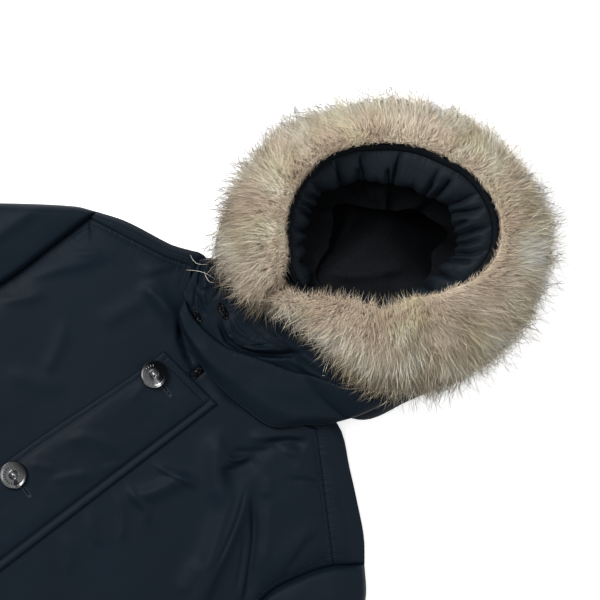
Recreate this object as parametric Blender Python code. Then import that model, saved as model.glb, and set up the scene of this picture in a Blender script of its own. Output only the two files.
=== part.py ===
"""A padded parka with a fur trimmed hood, laid flat on its back with the hood's opening upwards.

Tables and lengths here are in millimetres, and the meshes are in metres. The origin is on the underside of
the back panel, on the coat's centre line and level with the top of the placket. +Y runs from the hem to the
hood, +X to the wearer's left, and +Z up from the surface that the coat lies on.
"""

import bisect
import math

import bmesh
import bpy
from mathutils import Vector

MM = 0.001

# Cloth and padding
SEAM_GAP = 0.3  # between pieces that are sewn or lie together
SEAM_HALF = 4.0  # thickness of a padded panel where its edge is sewn
BACK_THICK = 9.0
FRONT_THICK = 9.0
EDGE_REACH = 34.0  # distance over which a panel swells from its seam to its full thickness
FRONT_TOP = BACK_THICK + SEAM_GAP + FRONT_THICK

# The coat's length and opening
HEM = -700.0
UNDERARM = -235.0
PLACKET_SEAM = 13.0  # the placket is sewn down here, on the wearer's left, and free on its other side
PLACKET_LINE = -70.0  # line of the fronts' rows under the placket's free side
PLACKET_THICK = 5.0
EDGE_THICK = 2.5  # of folded edges without padding
NECK_FRONT = 26.0  # the front neck seam, under the collar
NECK_BACK = 77.0  # the back neck seam, under the hood

# Buttons
BUTTON_PLACES = [(-49.0, -27.0), (-55.0, -200.0), (-56.0, -373.0), (-56.0, -546.0)]
BUTTON_RADIUS = 14.0
BUTTON_SHAPE = [
    # share of the radius, height: from the middle of the back round the rim to the hub
    (0.0, 0.0),
    (0.36, 0.0),
    (0.79, 0.4),
    (1.0, 2.0),
    (1.0, 3.6),
    (0.9, 4.6),
    (0.77, 4.2),
    (0.7, 3.3),
    (0.33, 3.3),
    (0.27, 4.6),
    (0.0, 4.9),
]
BUTTON_SIDES = 16

# Rows and columns of the body's panels
SIDE_ROWS = 9  # from the hem to the underarm
ARM_ROWS = 10  # from the underarm to the shoulder seam
SIDE_COLUMNS = 9  # from a side seam to the placket
PLACKET_COLUMNS = 4

# Hood
HOOD_MIDDLE = Vector((-20.0, 240.0))
CHIN = -99.0  # direction in which the two ends of the hood's edge meet
CROWN = 80.0  # direction of the seam over the crown
SHELL_THICK = 6.0
LINING_THICK = 3.0
LINING_GAP = 1.0
FACING_GAP = 2.0
FACING_THICK = 5.0
GATHERS = 30
SECTION_STEP = 15.0
# Each row is a section through the hood, 15 degrees on from the last, starting at -180 (the wearer's right).
# rim: radius of the opening. fur: radius that the fur reaches. shell: radius of the shell's widest part.
# facing: how far the gathered facing shows inside the rim.
HOOD_COLUMNS = ("rim", "fur", "shell", "facing")
HOOD_SECTIONS = [
    (95, 141, 130, 24),
    (96, 148, 138, 20),
    (97, 156, 148, 17),
    (97, 164, 160, 14),
    (96, 172, 169, 11),
    (100, 160, 158, 8),
    (94, 133, 148, 3),
    (79, 125, 152, 2),
    (71, 134, 170, 2),
    (70, 148, 186, 3),
    (71, 160, 168, 4),
    (74, 168, 160, 6),
    (83, 171, 158, 11),
    (92, 170, 158, 20),
    (102, 170, 158, 27),
    (110, 169, 157, 31),
    (111, 164, 152, 33),
    (107, 154, 142, 34),
    (101, 146, 134, 34),
    (94, 141, 129, 34),
    (91, 139, 127, 33),
    (89, 136, 125, 32),
    (89, 134, 124, 31),
    (92, 136, 126, 28),
]
RIM_HEIGHT_MEAN = 93.0
RIM_HEIGHT_SWING = 33.0  # the rim is highest at the crown and lowest at the chin
FUR_DOME = 30.0

# Largest folds of the fronts, each a ridge between two ends.
FRONT_FOLDS = [
    # x0, y0, x1, y1, half width, height
    (86, -8, 166, -128, 15, 5.0),
    (40, -30, 96, -60, 12, 2.5),
    (-200, -60, -100, 10, 20, 2.5),
    (120, -240, 250, -300, 26, 4.0),
    (-260, -270, -120, -330, 28, 4.0),
    (60, -430, 230, -470, 30, 3.5),
    (-250, -480, -110, -560, 30, 3.5),
    (90, -620, 240, -600, 30, 3.0),
]
# Folds in the hood's throat piece, which gather it towards the wearer's right.
THROAT_FOLDS = [
    # x0, y0, x1, y1, half width, height
    (-60, 58, -4, 80, 4.5, 3.5),
    (-52, 48, 10, 82, 4.5, 3.5),
    (-40, 70, 34, 104, 5.0, 3.0),
    (-80, 60, -66, 74, 4.5, 2.5),
]


def remove_startup_objects():
    for obj in list(bpy.data.objects):
        bpy.data.objects.remove(obj, do_unlink=True)


def cloth(name, colour, roughness, metallic=0.0):
    """A plain finish of one colour."""
    material = bpy.data.materials.new(name)
    material.use_nodes = True
    shader = material.node_tree.nodes["Principled BSDF"]
    shader.inputs["Base Color"].default_value = (*colour, 1.0)
    shader.inputs["Roughness"].default_value = roughness
    shader.inputs["Metallic"].default_value = metallic
    return material


def mix(start, end, share):
    return start + (end - start) * share


def ease(share):
    """0 to 1 with a soft start and a soft end."""
    share = min(max(share, 0.0), 1.0)
    return share * share * (3 - 2 * share)


def swell(distance, reach=EDGE_REACH):
    """0 to 1, rising steeply from an edge and levelling off, as padding does beside a seam."""
    rest = 1 - min(max(distance / reach, 0.0), 1.0)
    return math.sqrt(1 - rest * rest)


def curve(points, smooth=True):
    """A curve through the points, as a function of the share of its length."""
    places = [Vector(point) for point in points]
    marks = [0.0]
    for before, after in zip(places, places[1:]):
        marks.append(marks[-1] + (after - before).length)
    last = len(places) - 1
    slopes = []
    for i in range(len(places)):
        low, high = max(i - 1, 0), min(i + 1, last)
        slopes.append((places[high] - places[low]) / (marks[high] - marks[low]))

    def at(share):
        distance = min(max(share, 0.0), 1.0) * marks[-1]
        i = min(bisect.bisect_right(marks, distance), last) - 1
        span = marks[i + 1] - marks[i]
        t = (distance - marks[i]) / span
        if not smooth:
            return places[i].lerp(places[i + 1], t)
        bend = places[i] * (1 + 2 * t) * (1 - t) ** 2 + places[i + 1] * t * t * (3 - 2 * t)
        return bend + slopes[i] * span * t * (1 - t) ** 2 - slopes[i + 1] * span * t * t * (1 - t)

    return at


def patch(left, right, bottom, top):
    """A flat sheet between four edge curves that run upwards or to the right."""

    def at(u, v):
        corners = (1 - u) * ((1 - v) * left(0) + v * left(1)) + u * ((1 - v) * right(0) + v * right(1))
        return (1 - u) * left(v) + u * right(v) + (1 - v) * bottom(u) + v * top(u) - corners

    return at


def fold_height(folds, x, y):
    """How far the ridges in a table of folds lift the cloth at a place."""
    lift = 0.0
    for x0, y0, x1, y1, half_width, height in folds:
        start, run = Vector((x0, y0)), Vector((x1 - x0, y1 - y0))
        share = (Vector((x, y)) - start).dot(run) / run.length_squared
        aside = (Vector((x, y)) - start - run * share).length / half_width
        if -0.2 < share < 1.2 and aside < 3:
            lift += height * math.exp(-aside * aside) * ease((share + 0.2) / 0.4) * ease((1.2 - share) / 0.4)
    return lift


def add_piece(name, mesh_data, material):
    """Closes the piece's normals outwards and puts it in the coat's collection."""
    mesh_data.normal_update()
    bmesh.ops.recalc_face_normals(mesh_data, faces=mesh_data.faces)
    mesh = bpy.data.meshes.new(name)
    mesh_data.to_mesh(mesh)
    mesh_data.free()
    mesh.materials.append(material)
    mesh.shade_smooth()
    piece = bpy.data.objects.new(name, mesh)
    coat.objects.link(piece)
    return piece


def two_skins(name, material, columns, rows, point):
    """A piece between two skins: point(u, v, skin) places its under skin (0) and its outer skin (1)."""
    bm = bmesh.new()
    bmesh.ops.create_grid(bm, x_segments=columns, y_segments=rows, size=0.5)
    under = bm.verts[:]
    grown = bmesh.ops.extrude_face_region(bm, geom=bm.faces[:])
    outer = [item for item in grown["geom"] if isinstance(item, bmesh.types.BMVert)]
    for skin, verts in ((0, under), (1, outer)):
        for vert in verts:
            u, v = vert.co.x + 0.5, vert.co.y + 0.5
            vert.co = Vector(point(u, v, skin)) * MM
    bmesh.ops.remove_doubles(bm, verts=bm.verts, dist=1e-7)
    return add_piece(name, bm, material)


def tube(name, material, around, rings, point):
    """A tube with a wall: point(step, ring) goes round it, on rings along its outside and back inside."""
    bm = bmesh.new()
    bmesh.ops.create_grid(bm, x_segments=around, y_segments=rings, size=0.5)
    for vert in bm.verts:
        step, ring = round((vert.co.x + 0.5) * around) % around, round((vert.co.y + 0.5) * rings) % rings
        vert.co = Vector(point(step, ring)) * MM
    bmesh.ops.remove_doubles(bm, verts=bm.verts, dist=1e-7)
    return add_piece(name, bm, material)


# ---------------------------------------------------------------- body: outline of the panels

SIDE_RIGHT = curve([(-286, HEM), (-281, -450), (-275, UNDERARM)])
SIDE_LEFT = curve([(288, HEM), (283, -450), (277, UNDERARM)])
ARMHOLE_RIGHT = curve([(-275, UNDERARM), (-244, -180), (-223, -130), (-214.5, -85), (-214, -30), (-214, 16)])
ARMHOLE_LEFT = curve([(277, UNDERARM), (240, -170), (208, -112), (196, -72), (203, -29), (213, -2)])
PLACKET_FREE = curve([(PLACKET_LINE, HEM), (PLACKET_LINE, UNDERARM)])
PLACKET_FREE_TOP = curve([(PLACKET_LINE, UNDERARM), (-62, -50), (-64, NECK_FRONT + 2)])
PLACKET_SEWN = curve([(PLACKET_SEAM, HEM), (PLACKET_SEAM, UNDERARM)])
PLACKET_SEWN_TOP = curve([(PLACKET_SEAM, UNDERARM), (PLACKET_SEAM, NECK_FRONT + 2)])
SHOULDER_RIGHT = curve([(-214, 16), (-134, 54), (-100, 44), (-64, NECK_FRONT + 2)])
SHOULDER_LEFT = curve([(PLACKET_SEAM, NECK_FRONT + 2), (58, 40), (101, 58), (213, -2)], smooth=False)
TOP_RIGHT = curve([(-214.5, 26), (-188, 44), (-143, 65), (-130, 74), (-113, 85), (-64, NECK_BACK)])
TOP_LEFT = curve([(PLACKET_SEAM, NECK_BACK), (60, 80), (105, 88), (147, 70), (175, 57), (209, 40), (231, 24)])
UNDERARM_SHARE = SIDE_ROWS / (SIDE_ROWS + ARM_ROWS)


def joined(low, high):
    """Two curves end to end, which meet at the underarm's row."""

    def at(v):
        if v <= UNDERARM_SHARE:
            return low(v / UNDERARM_SHARE)
        return high((v - UNDERARM_SHARE) / (1 - UNDERARM_SHARE))

    return at


def straight(start, end):
    return curve([start, end])


FREE_LINE = joined(PLACKET_FREE, PLACKET_FREE_TOP)
SEWN_LINE = joined(PLACKET_SEWN, PLACKET_SEWN_TOP)
FREE_NECK, SEWN_NECK = FREE_LINE(1), SEWN_LINE(1)
BODY_BLOCKS = {
    "right": patch(
        joined(SIDE_RIGHT, ARMHOLE_RIGHT), FREE_LINE, straight(SIDE_RIGHT(0), FREE_LINE(0)), SHOULDER_RIGHT
    ),
    "middle": patch(
        FREE_LINE, SEWN_LINE, straight(FREE_LINE(0), SEWN_LINE(0)), straight(FREE_NECK, SEWN_NECK)
    ),
    "left": patch(
        SEWN_LINE, joined(SIDE_LEFT, ARMHOLE_LEFT), straight(SEWN_LINE(0), SIDE_LEFT(0)), SHOULDER_LEFT
    ),
}
# The back's top, from the shoulder seams and front neck to the coat's upper edge.
TOP_BLOCKS = {
    "right": patch(
        straight(SHOULDER_RIGHT(0), TOP_RIGHT(0)),
        straight(FREE_NECK, TOP_RIGHT(1)),
        SHOULDER_RIGHT,
        TOP_RIGHT,
    ),
    "middle": patch(
        straight(FREE_NECK, TOP_RIGHT(1)),
        straight(SEWN_NECK, TOP_LEFT(0)),
        straight(FREE_NECK, SEWN_NECK),
        straight(TOP_RIGHT(1), TOP_LEFT(0)),
    ),
    "left": patch(
        straight(SEWN_NECK, TOP_LEFT(0)), straight(SHOULDER_LEFT(1), TOP_LEFT(1)), SHOULDER_LEFT, TOP_LEFT
    ),
}
SIDE_WIDTH = 200.0  # from a side seam to the placket
BACK_COLUMNS = 2 * SIDE_COLUMNS + PLACKET_COLUMNS
ROLL_SHARES = (0.04, 0.5, 1.0)  # rows of the back's rolled shoulder, past its seam with the front
FRONT_ROWS = SIDE_ROWS + ARM_ROWS


def body_place(blocks, column, v):
    """The place on the body's sheet at a column, counted from the wearer's right side seam, and a share v."""
    if column <= SIDE_COLUMNS:
        return blocks["right"](column / SIDE_COLUMNS, v)
    if column <= SIDE_COLUMNS + PLACKET_COLUMNS:
        return blocks["middle"]((column - SIDE_COLUMNS) / PLACKET_COLUMNS, v)
    return blocks["left"]((column - SIDE_COLUMNS - PLACKET_COLUMNS) / SIDE_COLUMNS, v)


def swollen(column, v):
    """How full the body's padding is, from its sewn edges to its middle."""
    from_side = min(column, BACK_COLUMNS - column) / SIDE_COLUMNS * SIDE_WIDTH
    from_hem = v / UNDERARM_SHARE * (UNDERARM - HEM)
    return swell(from_side) * swell(from_hem)


def near_shoulder(column):
    """1 along a shoulder seam and 0 along the neck."""
    from_side = min(column, BACK_COLUMNS - column) / SIDE_COLUMNS
    return 1 - ease((from_side - 0.42) / 0.16)


def back_face(column, v):
    """Height of the back panel's upper face under the fronts."""
    return mix(SEAM_HALF, BACK_THICK, swollen(column, v))


def front_face(column, v, x, y):
    """Height of a front's upper face."""
    from_shoulder = (1 - v) * 400.0 + 3.0
    full = swollen(column, v) * mix(1.0, swell(from_shoulder), near_shoulder(column))
    padding = mix(SEAM_HALF, FRONT_THICK, full) + fold_height(FRONT_FOLDS, x, y) * full
    return back_face(column, v) + SEAM_GAP + padding


def back_point(u, v, skin):
    column = u * BACK_COLUMNS
    row = round(v * (FRONT_ROWS + len(ROLL_SHARES)))
    if row <= FRONT_ROWS:
        place = body_place(BODY_BLOCKS, column, row / FRONT_ROWS)
        return place.x, place.y, skin * back_face(column, row / FRONT_ROWS)
    roll = ROLL_SHARES[row - FRONT_ROWS - 1]
    place = body_place(TOP_BLOCKS, column, roll)
    roundness = 2.0 * math.sin(math.pi * roll)
    rolled = back_face(column, 1) + near_shoulder(column) * (SEAM_GAP + SEAM_HALF + roundness)
    return place.x, place.y, skin * mix(rolled, 0.55 * rolled, roll**3)


def front_point(first, last, aside):
    """A front from column first to column last, moved aside by half the gap between the fronts."""

    def at(u, v, skin):
        column = mix(first, last, u)
        below_seam = v * (1 - 0.0012)
        place = body_place(BODY_BLOCKS, column, below_seam)
        if skin == 0:
            return place.x + aside, place.y, back_face(column, below_seam) + SEAM_GAP
        return place.x + aside, place.y, front_face(column, below_seam, place.x, place.y)

    return at


def make_body():
    opening = SIDE_COLUMNS + PLACKET_COLUMNS // 2
    two_skins("back", navy, BACK_COLUMNS, FRONT_ROWS + len(ROLL_SHARES), back_point)
    two_skins("front_right", navy, opening, FRONT_ROWS, front_point(0, opening, -SEAM_GAP / 2))
    two_skins("front_left", navy, opening, FRONT_ROWS, front_point(opening, BACK_COLUMNS, SEAM_GAP / 2))


# ---------------------------------------------------------------- placket and buttons

PLACKET_TOP = 5.0
PLACKET_WIDTH = 80.0
PLACKET_ROWS = 26
PLACKET_LIFT = SEAM_GAP + 0.2  # over the curved fronts, whose rows lie elsewhere
PLACKET_HEM = HEM + 1.0
PLACKET = patch(
    curve([(-70, PLACKET_HEM), (-70, -190), (-62, -50), (-61, -5)]),
    curve([(PLACKET_SEAM, PLACKET_HEM), (PLACKET_SEAM, PLACKET_TOP)]),
    straight((-70, PLACKET_HEM), (PLACKET_SEAM, PLACKET_HEM)),
    straight((-61, -5), (PLACKET_SEAM, PLACKET_TOP)),
)


def body_top(x, y):
    """Height of the fronts' upper face away from their edges."""
    return FRONT_TOP + fold_height(FRONT_FOLDS, x, y)


def placket_point(u, v, skin):
    place = PLACKET(u, v)
    hem_height = 2 * SEAM_HALF + SEAM_GAP
    floor = mix(hem_height, body_top(place.x, place.y), swell(place.y - HEM)) + PLACKET_LIFT
    from_edge = min(u, 1 - u) * PLACKET_WIDTH
    from_top = (1 - v) * (PLACKET_TOP - HEM)
    thick = mix(EDGE_THICK, PLACKET_THICK, swell(from_edge, 14.0)) * mix(0.6, 1.0, swell(from_top, 12.0))
    return place.x, place.y, floor + skin * thick


def make_placket():
    two_skins("placket", navy, 6, PLACKET_ROWS, placket_point)


def make_buttons():
    """Domed shank buttons with a raised rim and a hub, each turned about its own axis."""
    for number, (x, y) in enumerate(BUTTON_PLACES, start=1):
        bm = bmesh.new()
        places = [(share * BUTTON_RADIUS * MM, 0, height * MM) for share, height in BUTTON_SHAPE]
        profile = [bm.verts.new(place) for place in places]
        edges = [bm.edges.new(pair) for pair in zip(profile, profile[1:])]
        whole = {"axis": (0, 0, 1), "cent": (0, 0, 0), "angle": math.tau, "use_merge": True}
        bmesh.ops.spin(bm, geom=profile + edges, steps=BUTTON_SIDES, **whole)
        bmesh.ops.remove_doubles(bm, verts=bm.verts, dist=1e-6)
        floor = body_top(x, y) + PLACKET_LIFT + PLACKET_THICK + SEAM_GAP
        bmesh.ops.translate(bm, verts=bm.verts, vec=Vector((x, y, floor)) * MM)
        add_piece(f"button_{number}", bm, metal)


# ---------------------------------------------------------------- sleeves

SLEEVE_SEGMENTS = 13  # rows along a sleeve
SLEEVE_EDGE_RIGHT = curve([(-214.5, 26), (-232, 12), (-279, -44), (-420, -222), (-560, -400), (-629, -487)])
SLEEVE_UNDER_RIGHT = curve([(-275, UNDERARM), (-326, -302), (-396, -405), (-512, -580)])
SLEEVE_EDGE_LEFT = curve([(231, 24), (259, 4), (350, -95), (470, -245), (560, -370), (628, -470)])
SLEEVE_UNDER_LEFT = curve([(277, UNDERARM), (331, -305), (408, -415), (508, -566)])
SLEEVE_FULL = 25.0  # height of a sleeve lying flat, below the shoulder
CUFF_FULL = 13.0
SLEEVE_LENGTH = 690.0
ARMHOLE_WIDTH, CUFF_WIDTH = 240.0, 140.0
SLIT = 0.6  # the space left inside a flat sleeve
SLEEVE_ARM_ROWS = ARM_ROWS + 1  # the armhole's rows and the rolled shoulder


def armhole(armhole_curve, top, share):
    """The seam between body and sleeve, from the coat's upper edge (0) to the underarm (1)."""
    row = share * SLEEVE_ARM_ROWS
    if row < 1:
        return top.lerp(armhole_curve(1), row)
    return armhole_curve(1 - (row - 1) / ARM_ROWS)


def sleeve_point(edge, under, armhole_curve, top, outwards):
    def flat_place(share, along):
        chord = edge(along).lerp(under(along), share)
        bow = armhole(armhole_curve, top, share) - edge(0).lerp(under(0), share)
        place = chord + bow * (1 - along) ** 3
        return place + Vector((outwards * (0.3 + SEAM_GAP), 0))

    def at(step, ring):
        inside = ring > SLEEVE_SEGMENTS
        along = (2 * SLEEVE_SEGMENTS + 1 - ring if inside else ring) / SLEEVE_SEGMENTS
        upper = step <= SLEEVE_ARM_ROWS
        share = (step if upper else 2 * SLEEVE_ARM_ROWS - step) / SLEEVE_ARM_ROWS
        place = flat_place(mix(0.03, 0.97, share) if inside else share, along)
        from_edge = min(share, 1 - share) * mix(ARMHOLE_WIDTH, CUFF_WIDTH, along)
        ripple = 1 + 0.1 * math.sin(along * 19.0 + share * 2.0) * ease(along * 6)
        full = mix(SLEEVE_FULL, CUFF_FULL, ease(along)) * ripple
        full = mix(2 * SEAM_HALF, full, swell(along * SLEEVE_LENGTH, 26.0))
        middle = full * 0.42
        if inside:
            return place.x, place.y, middle + (SLIT / 2 if upper else -SLIT / 2)
        if upper:
            return place.x, place.y, mix(middle, full, swell(from_edge, 30.0))
        return place.x, place.y, mix(middle, 0.0, swell(from_edge, 7.0))

    return at


def make_sleeves():
    sides = (
        ("right", SLEEVE_EDGE_RIGHT, SLEEVE_UNDER_RIGHT, ARMHOLE_RIGHT, TOP_RIGHT(0), -1),
        ("left", SLEEVE_EDGE_LEFT, SLEEVE_UNDER_LEFT, ARMHOLE_LEFT, TOP_LEFT(1), 1),
    )
    for side, edge, under, armhole_curve, top, outwards in sides:
        point = sleeve_point(edge, under, armhole_curve, top, outwards)
        tube(f"sleeve_{side}", navy, 2 * SLEEVE_ARM_ROWS, 2 * (SLEEVE_SEGMENTS + 1), point)


# ---------------------------------------------------------------- hood


def section(column, angle):
    """A column of the hood's table of sections, at any direction in degrees."""
    index = HOOD_COLUMNS.index(column)
    step = ((angle + 180.0) / SECTION_STEP) % len(HOOD_SECTIONS)
    i, t = int(step), step - int(step)
    before, start, end, after = (HOOD_SECTIONS[(i + k) % len(HOOD_SECTIONS)][index] for k in (-1, 0, 1, 2))
    slope_in, slope_out = (end - before) / 2, (after - start) / 2
    bend = start * (1 + 2 * t) * (1 - t) ** 2 + end * t * t * (3 - 2 * t)
    return bend + slope_in * t * (1 - t) ** 2 - slope_out * t * t * (1 - t)


def rim_height(angle):
    return RIM_HEIGHT_MEAN + RIM_HEIGHT_SWING * math.cos(math.radians(angle - CROWN))


# Shares of the way from the middle of the hood's back to its rim, for the knots of hood_knots.
KNOT_SHARES = (0.0, 0.22, 0.42, 0.52, 0.62, 0.74, 0.86, 1.0)
WIDEST_SHARE = 0.62
NARROW_SHARE = 0.86


def hood_knots(angle):
    """Radius and height of the shell's outer face: floor, widest part, narrow part below the rim, and rim."""
    widest = section("shell", angle)
    rim = section("rim", angle)
    top = rim_height(angle)
    belly = 0.38 * top
    narrow, narrow_height = rim - section("facing", angle) + 17.0, 0.72 * top
    foot = widest - 24.0
    shoulder = mix(widest, narrow, 0.4), mix(belly, narrow_height, 0.8)
    return (0, 0), (0.55 * foot, 0), (foot, 0), (widest - 5, 0.42 * belly), (widest, belly), shoulder, (
        narrow,
        narrow_height,
    ), (rim + 6, top)


def hood_face(angle, share, depth):
    """Radius and height of a face of the hood, at a depth inwards from the shell's outer face."""
    knots = hood_knots(angle)
    last = len(knots) - 1

    def knot(i):
        return Vector(knots[min(max(i, 0), last)])

    def slope(i):
        before, here, after = knot(i - 1), knot(i), knot(i + 1)
        return (after - before) / ((after - here).length + (here - before).length)

    i = min(bisect.bisect_right(KNOT_SHARES, share), last) - 1
    t = (share - KNOT_SHARES[i]) / (KNOT_SHARES[i + 1] - KNOT_SHARES[i])
    start, end = knot(i), knot(i + 1)
    span = (end - start).length
    slope_in, slope_out = slope(i) * span, slope(i + 1) * span
    place = start * (1 + 2 * t) * (1 - t) ** 2 + end * t * t * (3 - 2 * t)
    place += slope_in * t * (1 - t) ** 2 - slope_out * t * t * (1 - t)
    heading = (start * (6 * t * t - 6 * t) + end * (6 * t - 6 * t * t)) + slope_in * (1 - 4 * t + 3 * t * t)
    heading += slope_out * (3 * t * t - 2 * t)
    if share <= KNOT_SHARES[2]:
        place.y, heading = 0.0, Vector((1.0, 0.0))
    place.y = max(place.y, 0.0)
    heading.normalize()
    return place + Vector((-heading.y, heading.x)) * depth


def hood_point(angle, share, depth, aside=0.0):
    place = hood_face(angle, share, depth)
    radius = max(place.x, 0.0)
    turn = math.radians(angle)
    return (
        HOOD_MIDDLE.x + radius * math.cos(turn) + aside * math.sin(math.radians(CROWN)),
        HOOD_MIDDLE.y + radius * math.sin(turn) - aside * math.cos(math.radians(CROWN)),
        place.y,
    )


def shell_thickness(share):
    return mix(SHELL_THICK, 2.0, ease((share - 0.86) / 0.14))


HALF_COLUMNS = 18
HALVES = {
    "left": (CHIN, CROWN, SEAM_GAP / 2),
    "right": (CROWN, CHIN + 360.0, -SEAM_GAP / 2),
}
EDGE_START, EDGE_END = CHIN + 0.6, CHIN + 360.0 - 0.6  # pieces that go round the edge meet at the chin


def make_hood():
    shares = (0.0, 0.22, 0.42, 0.47, 0.52, 0.57, 0.62, 0.68, 0.74, 0.80, 0.86, 0.93, 1.0)
    lining_shares = shares[:10]
    for side, (start, end, aside) in HALVES.items():

        def shell_point(u, v, skin, start=start, end=end, aside=aside):
            share = shares[round(v * (len(shares) - 1))]
            return hood_point(mix(start, end, u), share, (1 - skin) * shell_thickness(share), aside)

        def lining_point(u, v, skin, start=start, end=end, aside=aside):
            share = lining_shares[round(v * (len(lining_shares) - 1))]
            outside = SHELL_THICK + LINING_GAP
            return hood_point(mix(start, end, u), share, outside + (1 - skin) * LINING_THICK, aside)

        two_skins(f"hood_shell_{side}", navy, HALF_COLUMNS, len(shares) - 1, shell_point)
        two_skins(f"hood_lining_{side}", fleece, HALF_COLUMNS, len(lining_shares) - 1, lining_point)


def gathered(angle, share):
    """How thick the facing is: gathers run across it, uneven in their spacing and height."""
    wave = GATHERS * math.radians(angle) + 1.3 * math.sin(math.radians(5 * angle)) + 0.8 * math.sin(
        math.radians(11 * angle)
    )
    ridge = 0.5 + 0.5 * math.sin(wave)
    height = 3.6 * (1 + 0.35 * math.sin(math.radians(7 * angle + 40)))
    return mix(FACING_THICK + ridge * height, 2.4, ease((share - 0.80) / 0.20) ** 2)


FACING_SHARES = (0.815, 0.86, 0.93, 1.0)


def facing_point(u, v, skin):
    angle = mix(EDGE_START, EDGE_END, u)
    share = FACING_SHARES[round(v * (len(FACING_SHARES) - 1))]
    outside = shell_thickness(share) + FACING_GAP
    return hood_point(angle, share, outside + (1 - skin) * gathered(angle, share))


def binding_point(u, v, skin):
    """A soft strip that caps the edges of shell and facing."""
    angle = mix(EDGE_START, EDGE_END, u)
    inner, outer = hood_face(angle, 1.0, 6.0), hood_face(angle, 1.0, -0.5)
    place = inner.lerp(outer, v)
    height = max(inner.y, outer.y) + 0.7 + skin * (1.2 + 2.8 * math.sin(math.pi * v))
    turn = math.radians(angle)
    return HOOD_MIDDLE.x + place.x * math.cos(turn), HOOD_MIDDLE.y + place.x * math.sin(turn), height


def upper_share(angle, radius):
    """The share of the shell's upper face, between its widest and its narrow part, at a radius."""
    low, high = WIDEST_SHARE, NARROW_SHARE
    for _ in range(24):
        middle = (low + high) / 2
        if hood_face(angle, middle, 0.0).x > radius:
            low = middle
        else:
            high = middle
    return (low + high) / 2


def shell_height(x, y):
    """Height of the shell's upper face over a place, or 0 outside the shell."""
    away = Vector((x, y)) - HOOD_MIDDLE
    angle = math.degrees(math.atan2(away.y, away.x))
    if away.length > section("shell", angle) + 1.5:
        return 0.0
    return hood_face(angle, upper_share(angle, away.length), 0.0).y


FUR_GAP = 2.4
FUR_START = 9.0  # the fur's inner edge, outside the binding


def fur_point(u, v, skin):
    """The fur's envelope: a thick roll that lies on the shell outside the rim."""
    angle = mix(EDGE_START, EDGE_END, u)
    reach = section("fur", angle)
    rim = section("rim", angle)
    top = rim_height(angle)
    seat = upper_share(angle, min(reach - 12.0, section("shell", angle) - 9.0))
    foot = hood_face(angle, seat, -FUR_GAP)
    inner = Vector((rim + FUR_START, top - 1.0))
    if skin == 0:
        if v < 0.8:
            place = hood_face(angle, mix(0.985, seat, v / 0.8), -FUR_GAP)
            if v < 0.01:
                place = Vector((max(place.x, rim + FUR_START - 1.5), place.y))
        else:
            place = Vector((mix(foot.x, reach - 3.0, (v - 0.8) / 0.2), foot.y + 0.5))
    else:
        dome = FUR_DOME * math.sin(math.pi * mix(0.05, 0.97, v)) ** 0.7
        across = 0.4 * ease(v) + 0.6 * v
        place = Vector((mix(inner.x, reach, across), mix(inner.y + 5.0, foot.y + 9.0, v) + dome))
    turn = math.radians(angle)
    return HOOD_MIDDLE.x + place.x * math.cos(turn), HOOD_MIDDLE.y + place.x * math.sin(turn), place.y


def make_hood_edge():
    two_skins("hood_facing", navy, 4 * GATHERS, len(FACING_SHARES) - 1, facing_point)
    two_skins("hood_binding", navy, 60, 2, binding_point)
    two_skins("fur_trim", fur, 46, 7, fur_point)


# ---------------------------------------------------------------- throat piece and collar

THROAT = patch(
    curve([(-96, 44), (-99, 60), (-97, 76)]),
    curve([(104, 104), (110, 128), (113, 150)]),
    curve([(-96, 44), (-60, 34), (-20, 38), (30, 60), (70, 84), (104, 104)]),
    curve([(-97, 76), (-71, 78), (-56, 83), (-38, 93), (-3, 109), (39, 116), (75, 124), (113, 150)]),
)
COLLAR = patch(
    curve([(-80, 27), (-86, 35), (-90, 43)]),
    curve([(97, 80), (108, 110), (116, 146)]),
    curve([(-80, 27), (-63, 20), (-22, 15), (3, 16.5), (35, 23), (64, 33), (81, 58), (97, 80)]),
    curve([(-90, 43), (-67, 39), (-28, 47), (0, 65), (30, 84), (51, 100), (80, 121), (116, 146)]),
)
THROAT_LOW, THROAT_HIGH = 20.0, 31.0
THROAT_THICK = 5.0
COLLAR_WIDTH, COLLAR_LENGTH, COLLAR_THICK = 70.0, 200.0, 7.0
COLLAR_LIFT = 2.7  # over the throat piece's curves


def neck_height(x, y):
    """Height of the throat piece's underside: it rises from the neck seam to the fur, clear of the shell."""
    away = Vector((x, y)) - HOOD_MIDDLE
    angle = math.degrees(math.atan2(away.y, away.x))
    outside_fur = away.length - section("fur", angle)
    slope = mix(THROAT_HIGH, THROAT_LOW, ease(outside_fur / 70.0))
    return max(slope, shell_height(x, y) + 1.6)


def throat_point(u, v, skin):
    place = THROAT(u, v)
    floor = neck_height(place.x, place.y)
    return place.x, place.y, floor + skin * (THROAT_THICK + fold_height(THROAT_FOLDS, place.x, place.y))


def collar_point(u, v, skin):
    place = COLLAR(u, v)
    on_front = body_top(place.x, place.y) + SEAM_GAP + 0.3
    over_throat = max(on_front, neck_height(place.x, place.y) + THROAT_THICK + COLLAR_LIFT)
    floor = mix(on_front, over_throat, ease(v * 3.0))
    from_edge = min(min(v, 1 - v) * COLLAR_WIDTH, min(u, 1 - u) * COLLAR_LENGTH + 2.0)
    return place.x, place.y, floor + skin * mix(EDGE_THICK, COLLAR_THICK, swell(from_edge, 16.0))


GRIP_LIFT, GRIP_THICK = 1.3, 1.4
GRIP_PADS = [
    # x, y, half length, half width, direction in degrees, what carries it
    (-56.0, 66.0, 9.5, 6.0, 140.0, "throat"),
    (-70.0, 47.0, 8.0, 4.5, 150.0, "throat"),
    (-24.5, 8.0, 6.2, 3.5, 93.0, "front"),
]


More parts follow.
